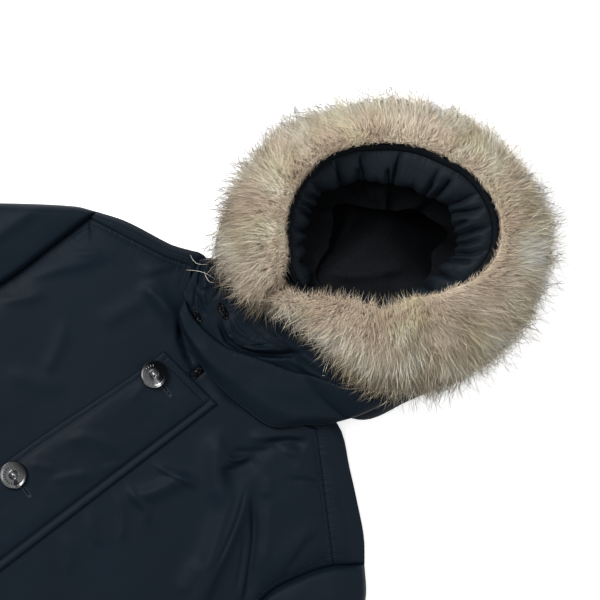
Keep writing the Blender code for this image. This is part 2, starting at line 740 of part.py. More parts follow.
def make_neck():
    two_skins("hood_throat", navy, 24, 9, throat_point)
    two_skins("collar", navy, 20, 7, collar_point)
    for number, (x, y, length, width, direction, carrier) in enumerate(GRIP_PADS, start=1):
        turn = math.radians(direction)
        bm = bmesh.new()
        sides = 12 if carrier == "throat" else 4
        bmesh.ops.create_cone(bm, cap_ends=True, segments=sides, radius1=1.0, radius2=1.0, depth=1.0)
        for vert in bm.verts:
            out_x, out_y, upper = vert.co.x, vert.co.y, vert.co.z > 0
            if carrier == "front":  # a square, turned from its corners on to its sides
                out_x, out_y = out_x - out_y, out_x + out_y
            px = x + length * out_x * math.cos(turn) - width * out_y * math.sin(turn)
            py = y + length * out_x * math.sin(turn) + width * out_y * math.cos(turn)
            top = body_top(px, py)
            if carrier == "throat":
                top = neck_height(px, py) + THROAT_THICK + fold_height(THROAT_FOLDS, px, py)
            vert.co = Vector((px, py, top + GRIP_LIFT + upper * GRIP_THICK)) * MM
        add_piece(f"grip_pad_{number}", bm, grip)


remove_startup_objects()
coat = bpy.data.collections.new("fur_trimmed_parka")
bpy.context.scene.collection.children.link(coat)
navy = cloth("navy_shell_cloth", (0.012, 0.019, 0.030), 0.6)
fleece = cloth("dark_fleece", (0.012, 0.012, 0.014), 0.9)
fur = cloth("grey_beige_fur", (0.55, 0.47, 0.38), 0.9)
metal = cloth("dark_button_metal", (0.10, 0.10, 0.11), 0.35, 1.0)
grip = cloth("black_hook_and_loop", (0.01, 0.01, 0.01), 0.9)
make_body()
make_placket()
make_buttons()
make_sleeves()
make_hood()
make_hood_edge()
make_neck()
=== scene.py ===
"""The looks of a padded parka with a fur trimmed hood, laid flat on its back with the hood's opening upwards.

Tables and lengths are in millimetres, and the meshes are in metres. The origin is on the underside of the
back panel, on the coat's centre line and level with the top of the placket. +Y runs from the hem to the
hood, +X to the wearer's left, and +Z up from the surface that the coat lies on.
"""

import math

import bmesh
import bpy
import numpy as np
from mathutils import Matrix, Vector, noise
from mathutils.bvhtree import BVHTree
from mathutils.kdtree import KDTree


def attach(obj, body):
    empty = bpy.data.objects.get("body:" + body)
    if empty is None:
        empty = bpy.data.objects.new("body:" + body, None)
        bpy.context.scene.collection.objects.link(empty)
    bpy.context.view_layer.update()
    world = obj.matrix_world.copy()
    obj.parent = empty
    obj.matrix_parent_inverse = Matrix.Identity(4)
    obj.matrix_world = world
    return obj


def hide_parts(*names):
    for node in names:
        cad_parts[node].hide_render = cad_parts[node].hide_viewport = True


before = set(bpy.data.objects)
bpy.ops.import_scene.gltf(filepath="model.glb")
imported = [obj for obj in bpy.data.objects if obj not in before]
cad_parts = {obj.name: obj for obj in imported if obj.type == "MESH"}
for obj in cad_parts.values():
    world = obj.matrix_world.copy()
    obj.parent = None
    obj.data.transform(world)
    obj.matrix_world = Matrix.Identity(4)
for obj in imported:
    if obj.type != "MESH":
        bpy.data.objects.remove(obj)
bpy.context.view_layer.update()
MM = 0.001


# ------------------------------------------------------------------ camera
# Straight above the neck and hood, far off so that high and low pieces keep their places,
# and turned so that the placket runs down to the left.

VIEW_MIDDLE = (-19.1, 134.1)
VIEW_WIDTH = 600.0
VIEW_TURN = 52.47
CAMERA_HEIGHT = 4000.0
FOCUS_HEIGHT = 30.0

camera_data = bpy.data.cameras.new("camera")
camera_data.lens = camera_data.sensor_width * CAMERA_HEIGHT / VIEW_WIDTH
camera_data.clip_end = 20.0
camera = bpy.data.objects.new("camera", camera_data)
camera.location = Vector((*VIEW_MIDDLE, CAMERA_HEIGHT + FOCUS_HEIGHT)) * MM
camera.rotation_euler = (0, 0, math.radians(VIEW_TURN))
bpy.context.scene.collection.objects.link(camera)
bpy.context.scene.camera = camera


# ------------------------------------------------------------------ floor and light
# A white paper sweep, a wide soft key light over the wearer's right shoulder, a weak fill
# from the other side and an even white surround.

FLOOR_SIZE = 9.0
LIGHTS = [
    # name, place, size, watts
    ("key_light", (-1.85, -0.3, 2.2), 1.2, 82.0),
    ("fill_light", (1.5, 1.7, 2.4), 2.0, 28.0),
]
LIGHT_AIM = Vector((0.0, 0.12, 0.05))
SURROUND = 0.62
PAPER_GLOW = 0.5  # the paper lies on a light table


def add_node(material, kind, **inputs):
    """A node of that kind. Its inputs are values, other nodes' outputs, or with a leading 'set_' its settings."""
    node = material.node_tree.nodes.new(kind)
    for name, value in inputs.items():
        if name.startswith("set_"):
            setattr(node, name[4:], value)
            continue
        socket = node.inputs[int(name[1:])] if name[0] == "_" else node.inputs[name.replace("_", " ")]
        if isinstance(value, bpy.types.NodeSocket):
            material.node_tree.links.new(value, socket)
        else:
            socket.default_value = value
    return node


def finish(name, colour, roughness, **values):
    """A material and its shader. Further values are the shader's own sockets."""
    material = bpy.data.materials.new(name)
    material.use_nodes = True
    shader = material.node_tree.nodes["Principled BSDF"]
    shader.inputs["Base Color"].default_value = (*colour, 1.0)
    shader.inputs["Roughness"].default_value = roughness
    for socket, value in values.items():
        shader.inputs[socket.replace("_", " ")].default_value = value
    return material, shader


def join(material, output, socket):
    material.node_tree.links.new(output, socket)


def object_place(material):
    return add_node(material, "ShaderNodeTexCoord").outputs["Object"]


def blend(material, share, low, high):
    """A colour between two, each of them a colour or a node's output."""
    low, high = (tone if isinstance(tone, bpy.types.NodeSocket) else (*tone, 1) for tone in (low, high))
    return add_node(material, "ShaderNodeMix", set_data_type="RGBA", _0=share, _6=low, _7=high).outputs[2]


def ranged(material, value, start, end, low, high):
    """A value that goes from low to high while another goes from start to end."""
    span = {"From_Min": start, "From_Max": end, "To_Min": low, "To_Max": high}
    return add_node(material, "ShaderNodeMapRange", Value=value, **span).outputs["Result"]


def product(material, first, second):
    return add_node(material, "ShaderNodeMath", set_operation="MULTIPLY", _0=first, _1=second).outputs[0]


def bumped(material, height, strength, millimetres, **under):
    """The surface's normal with a relief that high, over the Normal given, if there is one."""
    relief = {"Strength": strength, "Distance": millimetres * MM, "Height": height, **under}
    return add_node(material, "ShaderNodeBump", **relief).outputs["Normal"]


paper, paper_shader = finish("white_paper", (0.9, 0.9, 0.9), 0.9, Specular_IOR_Level=0.1)
paper_shader.inputs["Emission Color"].default_value = (1, 1, 1, 1)
paper_shader.inputs["Emission Strength"].default_value = PAPER_GLOW
bm = bmesh.new()
bmesh.ops.create_grid(bm, x_segments=1, y_segments=1, size=FLOOR_SIZE / 2)
bmesh.ops.translate(bm, verts=bm.verts, vec=(0, 0, -0.0005))
floor_mesh = bpy.data.meshes.new("floor")
bm.to_mesh(floor_mesh)
bm.free()
floor_mesh.materials.append(paper)
floor = bpy.data.objects.new("floor", floor_mesh)
bpy.context.scene.collection.objects.link(floor)

for light_name, light_place, light_size, watts in LIGHTS:
    lamp = bpy.data.lights.new(light_name, "AREA")
    lamp.size = light_size
    lamp.energy = watts
    light = bpy.data.objects.new(light_name, lamp)
    light.location = light_place
    light.rotation_euler = (Vector(light_place) - LIGHT_AIM).to_track_quat("Z", "Y").to_euler()
    bpy.context.scene.collection.objects.link(light)

surround = bpy.data.worlds.new("surround")
surround.use_nodes = True
surround.node_tree.nodes["Background"].inputs["Color"].default_value = (1, 1, 1, 1)
surround.node_tree.nodes["Background"].inputs["Strength"].default_value = SURROUND
bpy.context.scene.world = surround
bpy.context.scene.view_settings.view_transform = "Standard"


# ------------------------------------------------------------------ back and fronts
# The body is cut as a back and two fronts of closely woven navy cloth over padding. The back's
# top is rolled forward over the shoulders, where the fronts are sewn to it with a row of
# topstitching on each side of the seam.

SEAM_GAP = 0.3
SEAM_HALF = 4.0  # thickness of a padded panel where its edge is sewn
BACK_THICK = 9.0
FRONT_THICK = 9.0
EDGE_REACH = 34.0  # distance over which a panel swells from its seam to its full thickness
FRONT_TOP = BACK_THICK + SEAM_GAP + FRONT_THICK
HEM, UNDERARM = -700.0, -235.0
PLACKET_SEAM, PLACKET_LINE = 13.0, -70.0
NECK_FRONT, NECK_BACK = 26.0, 77.0
SIDE_ROWS, ARM_ROWS = 9, 10
SIDE_COLUMNS, PLACKET_COLUMNS = 9, 4
BACK_COLUMNS = 2 * SIDE_COLUMNS + PLACKET_COLUMNS
COLUMN_WIDTH = 22.0
UNDERARM_SHARE = SIDE_ROWS / (SIDE_ROWS + ARM_ROWS)


def mix(start, end, share):
    return start + (end - start) * share


def ease(share):
    """0 to 1 with a soft start and a soft end."""
    share = np.clip(share, 0.0, 1.0)
    return share * share * (3 - 2 * share)


def swell(distance, reach=EDGE_REACH):
    """0 to 1, rising steeply from an edge and levelling off, as padding does beside a seam."""
    rest = 1 - np.clip(distance / reach, 0.0, 1.0)
    return np.sqrt(1 - rest * rest)


def hump(value, middle, half):
    """1 where the value is at the middle, falling softly to 0 over about twice that half width."""
    return np.exp(-(((value - middle) / half) ** 2))


def unit(vectors):
    return vectors / np.linalg.norm(vectors, axis=-1, keepdims=True)


def marks_along(path):
    """How far along a path each of its points is."""
    return np.concatenate([[0.0], np.cumsum(np.linalg.norm(np.diff(path, axis=0), axis=1))])


def bend(start, end, slope_in, slope_out, t):
    """The cubic between two values that leaves and arrives at those slopes."""
    between = start * (1 + 2 * t) * (1 - t) ** 2 + end * t * t * (3 - 2 * t)
    return between + slope_in * t * (1 - t) ** 2 - slope_out * t * t * (1 - t)


def curve(points, smooth=True):
    """A curve through the points, as a function of the share of its length."""
    places = np.array(points, float)
    last = len(places) - 1
    marks = marks_along(places)
    low, high = np.r_[0, 0:last], np.r_[1 : last + 1, last]
    slopes = (places[high] - places[low]) / (marks[high] - marks[low])[:, None]

    def at(share):
        distance = np.clip(share, 0.0, 1.0) * marks[-1]
        i = np.clip(np.searchsorted(marks, distance, side="right") - 1, 0, last - 1)
        span = (marks[i + 1] - marks[i])[..., None]
        t = (distance - marks[i])[..., None] / span
        if not smooth:
            return mix(places[i], places[i + 1], t)
        return bend(places[i], places[i + 1], slopes[i] * span, slopes[i + 1] * span, t)

    return at


def straight(start, end):
    return curve([start, end])


def joined(low, high):
    """Two curves end to end, which meet at the underarm's row."""

    def at(v):
        v = np.asarray(v, float)
        upper = high((v - UNDERARM_SHARE) / (1 - UNDERARM_SHARE))
        return np.where((v <= UNDERARM_SHARE)[..., None], low(v / UNDERARM_SHARE), upper)

    return at


def patch(left, right, bottom, top):
    """A flat sheet between four edge curves that run upwards or to the right."""

    def at(u, v):
        across, along = np.asarray(u, float)[..., None], np.asarray(v, float)[..., None]
        corners = (1 - across) * ((1 - along) * left(0.0) + along * left(1.0))
        corners = corners + across * ((1 - along) * right(0.0) + along * right(1.0))
        sides = (1 - across) * left(v) + across * right(v)
        return sides + (1 - along) * bottom(u) + along * top(u) - corners

    return at


def nearest_on(path, x, y):
    """How far places lie from a path, more than 0 on its left, and the share of its length they are at."""
    path = np.asarray(path, float)
    place = np.stack([x, y], -1)[:, None, :]
    start, run = path[:-1], np.diff(path, axis=0)
    length = np.linalg.norm(run, axis=1)
    t = np.clip(((place - start) * run).sum(-1) / length**2, 0.0, 1.0)
    gap = place - start - t[..., None] * run
    far = np.linalg.norm(gap, axis=-1)
    pick = far.argmin(1)
    rows = np.arange(len(pick))
    side = run[pick, 0] * gap[rows, pick, 1] - run[pick, 1] * gap[rows, pick, 0]
    marks = marks_along(path)
    return np.where(side >= 0, 1, -1) * far[rows, pick], (marks[pick] + t[rows, pick] * length[pick]) / marks[-1]


FOLD_GAIN = 1.25  # by which every fold stands over its height in the tables


def folds_at(folds, x, y):
    """The height of a table of folds. Each is its height, its width on the right and on the left, and its path."""
    lift = np.zeros_like(x)
    for height, right_width, left_width, *path in folds:
        away, share = nearest_on(curve(path)(np.linspace(0, 1, 9)), x, y)
        width = np.where(away > 0, left_width, right_width)
        lift += FOLD_GAIN * height * hump(away, 0, width) * ease(share / 0.3) * ease((1 - share) / 0.3)
    return lift


def crumple(x, y, size, seed):
    """Smooth unevenness between -1 and 1, in lumps of about that size."""
    return np.array([noise.noise(Vector((a / size, b / size, seed))) for a, b in zip(x, y)])


def spaced(*stretches):
    """Places along a length made of stretches, each (length, step), from 0 on."""
    places = [0.0]
    for length, step in stretches:
        count = max(1, round(length / step))
        places += [places[-1] + length * (i + 1) / count for i in range(count)]
    return np.array(places)


COPY_STEP = 4  # between copies that stand in a row


def copies(bm, count):
    """Copies what is in bm until there are count of it. Gives each vert's number and its place in its own copy."""
    made = 1
    while made < count:
        more = min(made, count - made)
        end = COPY_STEP * (more - 0.5)
        chosen = [item for item in bm.verts if item.co.x < end]
        chosen += [item for item in bm.faces if item.verts[0].co.x < end]
        copied = bmesh.ops.duplicate(bm, geom=chosen)
        fresh = [item for item in copied["geom"] if isinstance(item, bmesh.types.BMVert)]
        bmesh.ops.translate(bm, verts=fresh, vec=(COPY_STEP * made, 0, 0))
        made += more
    corners = np.array([vert.co for vert in bm.verts])
    number = np.rint(corners[:, 0] / COPY_STEP).astype(int)
    corners[:, 0] -= COPY_STEP * number
    return number, corners


def add_mesh(name, bm):
    mesh = bpy.data.meshes.new(name)
    bm.to_mesh(mesh)
    bm.free()
    return mesh


def add_piece(name, made, material, slot, *nodes):
    """The finished piece, made as a bmesh or a mesh, which rides with the coat and stands for its nodes."""
    mesh = made if isinstance(made, bpy.types.Mesh) else add_mesh(name, made)
    mesh.materials.append(material)
    mesh.shade_smooth()
    piece = bpy.data.objects.new(name, mesh)
    bpy.context.scene.collection.objects.link(piece)
    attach(piece, "root")
    if nodes:
        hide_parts(*nodes)
    return piece


def place_grid(bm, points, flat):
    """Moves the verts to their points in millimetres, and gives the faces a UV map of flat cloth in metres."""
    for vert, point in zip(bm.verts, points.tolist()):
        vert.co = Vector(point) * MM
    bm.verts.index_update()
    layer = bm.loops.layers.uv.new("cloth")
    flat = (flat * MM).tolist()
    for face in bm.faces:
        for loop in face.loops:
            loop[layer].uv = flat[loop.vert.index]
    bmesh.ops.remove_doubles(bm, verts=bm.verts, dist=1e-7)
    bmesh.ops.recalc_face_normals(bm, faces=bm.faces)


def grid_values(bm, across, along):
    """The value of across and along at each vert of a grid made 1 wide."""
    corners = np.array([vert.co for vert in bm.verts])
    i = np.rint((corners[:, 0] + 0.5) * (len(across) - 1)).astype(int)
    j = np.rint((corners[:, 1] + 0.5) * (len(along) - 1)).astype(int)
    return across[i], along[j], corners[:, 2]


def draw_in(piece, seams, reach=7.0, strength=1.0):
    """Marks how far each vert is along and beside the nearest seam, where the cloth ripples."""
    places = np.array([vert.co for vert in piece.data.vertices]) / MM
    found = [nearest_on(seam, places[:, 0], places[:, 1]) for seam in seams]
    every = np.abs([away for away, _ in found])
    nearest = every.argmin(0)
    lengths = [np.linalg.norm(np.diff(np.asarray(seam, float), axis=0), axis=1).sum() for seam in seams]
    along = np.array([share for _, share in found])[nearest, np.arange(len(places))] * np.array(lengths)[nearest]
    away = every.min(0)
    marks = np.stack([along + 400.0 * nearest, away, strength * np.exp(-away / reach)], -1)
    layer = piece.data.attributes.new("seam", "FLOAT_VECTOR", "POINT")
    layer.data.foreach_set("vector", marks.astype(np.float32).ravel())


def panel(name, across, along, place, material, slot, *nodes, flat=None):
    """A closed piece of cloth between two skins: place(u, v, skin) gives its under (0) and outer (1) skin."""
    bm = bmesh.new()
    bmesh.ops.create_grid(bm, x_segments=len(across) - 1, y_segments=len(along) - 1, size=0.5)
    grown = bmesh.ops.extrude_face_region(bm, geom=bm.faces[:])
    outer = [item for item in grown["geom"] if isinstance(item, bmesh.types.BMVert)]
    bmesh.ops.translate(bm, verts=outer, vec=(0, 0, 1))
    u, v, skin = grid_values(bm, np.asarray(across), np.asarray(along))
    points = place(u, v, skin)
    place_grid(bm, points, points[:, :2] if flat is None else flat(u, v))
    return add_piece(name, bm, material, slot, *nodes)


CLOTH_SHADES = (0.86, 1.16)  # of its colour, in soft patches
CLOTH_ROUGHNESS = (0.47, 0.58)
PUCKER_HEIGHT = 2.6  # of the ripples that a seam draws in


def navy_finish(name, colour, thread=0.42, crease=0.25):
    """Closely woven navy cloth: its weave, soft creasing and a low sheen. The thread is in millimetres."""
    material, shader = finish(name, colour, 0.6, Specular_IOR_Level=0.075)
    cloth = add_node(material, "ShaderNodeUVMap", set_uv_map="cloth").outputs["UV"]
    place = object_place(material)
    tone = add_node(material, "ShaderNodeTexNoise", Vector=place, Scale=14.0, Detail=3.0).outputs["Fac"]
    dark, light = ([channel * shade for channel in colour] for shade in CLOTH_SHADES)
    join(material, blend(material, tone, dark, light), shader.inputs["Base Color"])
    threads = {"Vector": cloth, "Scale": 0.5 / (thread * MM), "Distortion": 0.6, "Detail": 1.0}
    warp, weft = (
        add_node(material, "ShaderNodeTexWave", set_bands_direction=direction, **threads).outputs["Fac"]
        for direction in ("X", "Y")
    )
    woven = bumped(material, product(material, warp, weft), 0.35, 0.06)
    rumple = add_node(material, "ShaderNodeTexNoise", Vector=place, Scale=95.0, Detail=4.0, Roughness=0.55)
    rumpled = bumped(material, rumple.outputs["Fac"], crease, 0.9, Normal=woven)
    seam = add_node(material, "ShaderNodeAttribute", set_attribute_name="seam")
    parts = add_node(material, "ShaderNodeSeparateXYZ", Vector=seam.outputs["Vector"])
    beside_seam = product(material, parts.outputs["Y"], 0.18)
    ripples = add_node(material, "ShaderNodeCombineXYZ", X=parts.outputs["X"], Y=beside_seam).outputs["Vector"]
    ripple = add_node(material, "ShaderNodeTexNoise", Vector=ripples, Scale=0.22, Detail=2.0, Roughness=0.6)
    drawn = product(material, ripple.outputs["Fac"], parts.outputs["Z"])
    join(material, bumped(material, drawn, 1.0, PUCKER_HEIGHT, Normal=rumpled), shader.inputs["Normal"])
    join(material, ranged(material, tone, 0.3, 0.7, *CLOTH_ROUGHNESS), shader.inputs["Roughness"])
    return material


navy = navy_finish("navy_shell_cloth", (0.0032, 0.0072, 0.0126))

SIDE_RIGHT = curve([(-286, HEM), (-281, -450), (-275, UNDERARM)])
SIDE_LEFT = curve([(288, HEM), (283, -450), (277, UNDERARM)])
ARMHOLE_RIGHT = curve([(-275, UNDERARM), (-244, -180), (-223, -130), (-214.5, -85), (-214, -30), (-214, 16)])
ARMHOLE_LEFT = curve([(277, UNDERARM), (240, -170), (208, -112), (196, -72), (203, -29), (213, -2)])
SHOULDER_RIGHT = curve([(-214, 16), (-134, 54), (-112, 69), (-94, 50), (-64, NECK_FRONT + 2)], smooth=False)
SHOULDER_LEFT = curve([(PLACKET_SEAM, NECK_FRONT + 2), (58, 44), (94, 68), (157, 31), (213, -2)], smooth=False)
TOP_RIGHT = curve([(-214.5, 26), (-188, 44), (-143, 65), (-130, 74), (-113, 85), (-64, NECK_BACK)])
TOP_LEFT = curve([(PLACKET_SEAM, NECK_BACK), (60, 80), (105, 88), (147, 70), (175, 57), (209, 40), (231, 24)])
FREE_LINE = joined(
    straight((PLACKET_LINE, HEM), (PLACKET_LINE, UNDERARM)),
    curve([(PLACKET_LINE, UNDERARM), (-62, -50), (-64, NECK_FRONT + 2)]),
)
SEWN_LINE = joined(
    straight((PLACKET_SEAM, HEM), (PLACKET_SEAM, UNDERARM)),
    straight((PLACKET_SEAM, UNDERARM), (PLACKET_SEAM, NECK_FRONT + 2)),
)
FREE_NECK, SEWN_NECK = FREE_LINE(1.0), SEWN_LINE(1.0)
RIGHT_EDGE, LEFT_EDGE = joined(SIDE_RIGHT, ARMHOLE_RIGHT), joined(SIDE_LEFT, ARMHOLE_LEFT)
BODY_BLOCKS = (
    patch(RIGHT_EDGE, FREE_LINE, straight(RIGHT_EDGE(0.0), FREE_LINE(0.0)), SHOULDER_RIGHT),
    patch(FREE_LINE, SEWN_LINE, straight(FREE_LINE(0.0), SEWN_LINE(0.0)), straight(FREE_NECK, SEWN_NECK)),
    patch(SEWN_LINE, LEFT_EDGE, straight(SEWN_LINE(0.0), LEFT_EDGE(0.0)), SHOULDER_LEFT),
)
# The back's top, from the shoulder seams and front neck to the coat's upper edge.
TOP_BLOCKS = (
    patch(
        straight(SHOULDER_RIGHT(0.0), TOP_RIGHT(0.0)), straight(FREE_NECK, TOP_RIGHT(1.0)), SHOULDER_RIGHT, TOP_RIGHT
    ),
    patch(
        straight(FREE_NECK, TOP_RIGHT(1.0)),
        straight(SEWN_NECK, TOP_LEFT(0.0)),
        straight(FREE_NECK, SEWN_NECK),
        straight(TOP_RIGHT(1.0), TOP_LEFT(0.0)),
    ),
    patch(straight(SEWN_NECK, TOP_LEFT(0.0)), straight(SHOULDER_LEFT(1.0), TOP_LEFT(1.0)), SHOULDER_LEFT, TOP_LEFT),
)
STEPS = np.linspace(0, 1, 41)
SHOULDER_SEAMS = [SHOULDER_RIGHT(STEPS)[:26], SHOULDER_LEFT(STEPS)[17:]]
ARMHOLES = [ARMHOLE_RIGHT(STEPS), ARMHOLE_LEFT(STEPS)]
SHOULDER_ROWS = (3.0,)  # topstitching, from the seam
ARMHOLE_ROWS = (2.0, 4.8)
FRONT_FOLDS = [
    # height, width on the right and on the left, path
    (1.8, 4, 1.6, (-203, 19), (-204, 5), (-204, -14)),
    (2.0, 12, 6, (-164, 24), (-174, 4), (-182, -18), (-194, -44), (-208, -79)),
    (3.0, 9, 5, (-122, 67), (-128, 49), (-133, 32), (-129, 22)),
    (3.0, 8, 5, (-129, 22), (-117, 20), (-97, 23), (-81, 20)),
    (1.2, 10, 8, (-112, 16), (-118, -10), (-122, -45)),
    (1.4, 12, 8, (-144, -148), (-118, -126), (-88, -107)),
    # the wearer's left, from the collar to the hem
    (6.2, 13, 8, (84, -6), (90, -15), (105, -33), (116, -48), (132, -76), (146, -104), (159, -126), (176, -156)),
    (-2.6, 1.2, 1.6, (94, -19), (105, -34), (116, -49), (132, -77), (146, -105)),
    (-4.6, 3.2, 8, (98, -16), (109, -24), (121, -32), (143, -49), (160, -66), (182, -89), (200, -112)),
    (1.6, 5, 4, (104, -17), (124, -29), (146, -46), (163, -63), (184, -86)),
    (-1.8, 2, 5, (128, -50), (146, -65), (165, -86), (179, -100)),
    (3.4, 12, 6, (80, -30), (94, -41), (110, -66), (131, -97), (148, -128)),
    (5.6, 13, 10, (30, -8), (42, -16), (56, -27), (71, -38), (92, -50), (104, -57)),
    (-2.6, 7, 4.0, (56, -16), (62, -10), (68, -3), (76, 9), (84, 22)),
    (-4.4, 10, 4.6, (66, -38), (74, -26), (77, -14), (79, -2), (79, 8)),
    (2.0, 2.5, 3.0, (58, -22), (68, -16), (72, -8), (74, 0)),
    (2.8, 5, 6, (56, 6), (64, 16), (73, 29), (84, 43), (95, 56)),
    (-4.0, 7, 3.6, (70, 14), (76, 24), (80, 31), (85, 40), (92, 46), (99, 58)),
    (1.0, 2.2, 3.0, (88, 28), (94, 31), (100, 36), (98, 42)),
    (0.9, 2.6, 2.6, (82, 26), (88, 34), (92, 42)),
    (1.5, 8, 5, (103, 5), (119, -15)),
    (1.3, 5, 12, (196, -66), (184, -48), (177, -24), (173, 4), (172, 22)),
    (-1.4, 6, 3, (190, -44), (184, -26), (177, -5), (178, 12)),
    (-1.8, 3, 2, (112, 12), (120, 19), (126, 27), (139, 37), (152, 40)),
    (1.0, 7, 5, (104, 34), (118, 30), (130, 40), (142, 48)),
    (1.6, 8, 5, (118, -10), (136, -24), (158, -44), (172, -66)),
    (3.4, 12, 9, (-136, 27), (-120, 27), (-100, 26), (-80, 22), (-68, 12)),
    (3.6, 8, 7, (26, -130), (43, -103), (49, -76), (60, -49)),
    (2.2, 3, 6, (18, -84), (34, -78), (52, -68), (70, -64)),
    (2.0, 4, 3, (20, -112), (36, -118), (54, -116), (70, -128)),
    (1.8, 3, 4, (18, -128), (34, -134), (54, -146), (66, -160)),
    (1.8, 4, 4, (18, -160), (36, -170), (58, -176)),
    (1.6, 4, 6, (18, -196), (40, -204), (60, -220)),
    (1.6, 10, 6, (125, -102), (146, -143)),
    (-2.5, 6, 6, (-96, 42), (-72, 28), (-46, 19), (-14, 16), (16, 20), (38, 27), (56, 36)),  # under the collar's edge
    (-6.5, 4, 4, (-78, 27), (-60, 17), (-48, 13), (-38, 9), (-28, 6)),
    (-2.6, 8, 8, (-52, 12), (-30, 7), (-8, 6), (8, 10)),  # the hollow above the placket
    (1.2, 4, 3, (-196, -20), (-186, -6), (-176, 8)),
    (1.2, 6, 4, (-206, -110), (-190, -86), (-180, -60)),
    (1.3, 8, 6, (-150, -60), (-130, -84), (-112, -120)),
    (4.0, 26, 26, (120, -240), (250, -300)),
    (4.0, 28, 28, (-260, -270), (-120, -330)),
    (3.5, 30, 30, (60, -430), (230, -470)),
    (3.5, 30, 30, (-250, -480), (-110, -560)),
    (3.0, 30, 30, (90, -620), (240, -600)),
]


def on_body(blocks, column, v):
    """The place on the body's sheet at a column, counted from the wearer's right side seam, and a share v."""
    right, middle, left = blocks
    first, second = SIDE_COLUMNS, SIDE_COLUMNS + PLACKET_COLUMNS
    on_right = right(np.clip(column / SIDE_COLUMNS, 0, 1), v)
    on_middle = middle(np.clip((column - first) / PLACKET_COLUMNS, 0, 1), v)
    on_left = left(np.clip((column - second) / SIDE_COLUMNS, 0, 1), v)
    inner = np.where((column > second)[:, None], on_left, on_middle)
    return np.where((column <= first)[:, None], on_right, inner)


def swollen(column, v):
    """How full the back's padding is, from its sewn edges to its middle."""
    from_side = np.minimum(column, BACK_COLUMNS - column) * COLUMN_WIDTH
    return swell(from_side) * swell(v / UNDERARM_SHARE * (UNDERARM - HEM))


def near_shoulder(column):
    """1 along a shoulder seam and 0 along the neck."""
    from_side = np.minimum(column, BACK_COLUMNS - column) / SIDE_COLUMNS
    return 1 - ease((from_side - 0.66) / 0.12)


def back_face(column, v):
    return mix(SEAM_HALF, BACK_THICK, swollen(column, np.minimum(v, 1.0)))


def beside_seams(x, y, seams, rows):
    """Distance to the nearest of some seams, and how the seam and its topstitching draw in the cloth there."""
    found = [nearest_on(seam, x, y) for seam in seams]
    every = np.abs([distance for distance, _ in found])
    away = every.min(0)
    along = np.choose(every.argmin(0), [share * 300.0 * (k + 1) for k, (_, share) in enumerate(found)])
    dip = sum(-0.3 * hump(away, row, 0.9) for row in rows) - 0.35 * np.exp(-away / 1.0)
    pucker = 0.9 * crumple(along, away * 0.3, 9.0, 3.1) * np.exp(-away / 14.0) * (1 - np.exp(-away / 2.0))
    return away, dip + pucker


def front_lumps(x, y):
    return 0.9 * crumple(x, y, 62.0, 0.4) + 0.25 * crumple(x, y, 21.0, 5.5)


def front_face(column, v, x, y):
    """Height of a front's upper face."""
    armhole, armhole_dip = beside_seams(x, y, ARMHOLES, ARMHOLE_ROWS)
    shoulder, shoulder_dip = beside_seams(x, y, SHOULDER_SEAMS, SHOULDER_ROWS)
    rise = (1 - np.exp(-np.maximum(armhole - 2, 0) / 10)) * (1 - np.exp(-np.maximum(shoulder - 2, 0) / 8))
    full = swollen(column, v) * rise
    folds = (folds_at(FRONT_FOLDS, x, y) + front_lumps(x, y)) * np.sqrt(full)
    return back_face(column, v) + SEAM_GAP + mix(SEAM_HALF, FRONT_THICK, full) + folds + armhole_dip + shoulder_dip


def back_place(u, v, skin):
    roll = np.clip(v - 1.0, 0.0, 1.0)
    place = np.where(
        (v <= 1.0)[:, None], on_body(BODY_BLOCKS, u, np.minimum(v, 1.0)), on_body(TOP_BLOCKS, u, roll)
    )
    x, y = place.T
    _, dip = beside_seams(x, y, SHOULDER_SEAMS, SHOULDER_ROWS)
    shoulder = near_shoulder(u)
    roundness = 2.6 * np.sin(math.pi * roll) + 0.5 * crumple(x, y, 16.0, 2.2)
    rolled = back_face(u, v) + shoulder * (SEAM_GAP + SEAM_HALF + roundness + dip)
    height = np.where(v <= 1.0, back_face(u, v), mix(rolled, 0.55 * rolled, roll**3))
    return np.stack([x, y, skin * height], -1)


def front_place(aside):
    def at(u, v, skin):
        v = v * 0.9997  # clear of the shoulder's seam
        x, y = on_body(BODY_BLOCKS, u, v).T
        top = front_face(u, v, x, y)
        return np.stack([x + aside, y, mix(back_face(u, v) + SEAM_GAP, top, skin)], -1)

    return at


ROWS_UP = spaced((420, 14), (90, 7), (150, 3.4), (220, 2.3), (20, 1.6)) / 900.0
SIDE_PLACES = spaced((10, 1.5), (150, 3.3), (38, 5)) / COLUMN_WIDTH
OPENING = SIDE_COLUMNS + PLACKET_COLUMNS / 2
under_placket = np.linspace(SIDE_COLUMNS, OPENING, 5)[1:]
right_columns = np.concatenate([SIDE_PLACES, under_placket])
left_columns = np.concatenate([spaced((10, 1.5), (170, 2.3), (18, 4)) / COLUMN_WIDTH, under_placket])
front_right = panel(
    "front_right_cloth", right_columns, ROWS_UP, front_place(-SEAM_GAP / 2), navy, "navy_cloth", "front_right"
)
front_left = panel(
    "front_left_cloth",
    BACK_COLUMNS - left_columns[::-1],
    ROWS_UP,
    front_place(SEAM_GAP / 2),
    navy,
    "navy_cloth",
    "front_left",
)
ROLL_SHARES = [0.008, 0.03, 0.08, 0.14, 0.22, 0.3, 0.4, 0.5, 0.6, 0.7, 0.8, 0.88, 0.95, 1.0]  # over the shoulders
back_columns = spaced((10, 2), (464, 8), (10, 2)) / COLUMN_WIDTH
back_rows = np.concatenate([spaced((700, 20)) / 700, 1 + np.array(ROLL_SHARES)])
back = panel("back_cloth", back_columns, back_rows, back_place, navy, "navy_cloth", "back")
for piece in (front_right, front_left, back):
    draw_in(piece, [*SHOULDER_SEAMS, *ARMHOLES], 9.0, 0.4 if piece is back else 0.7)


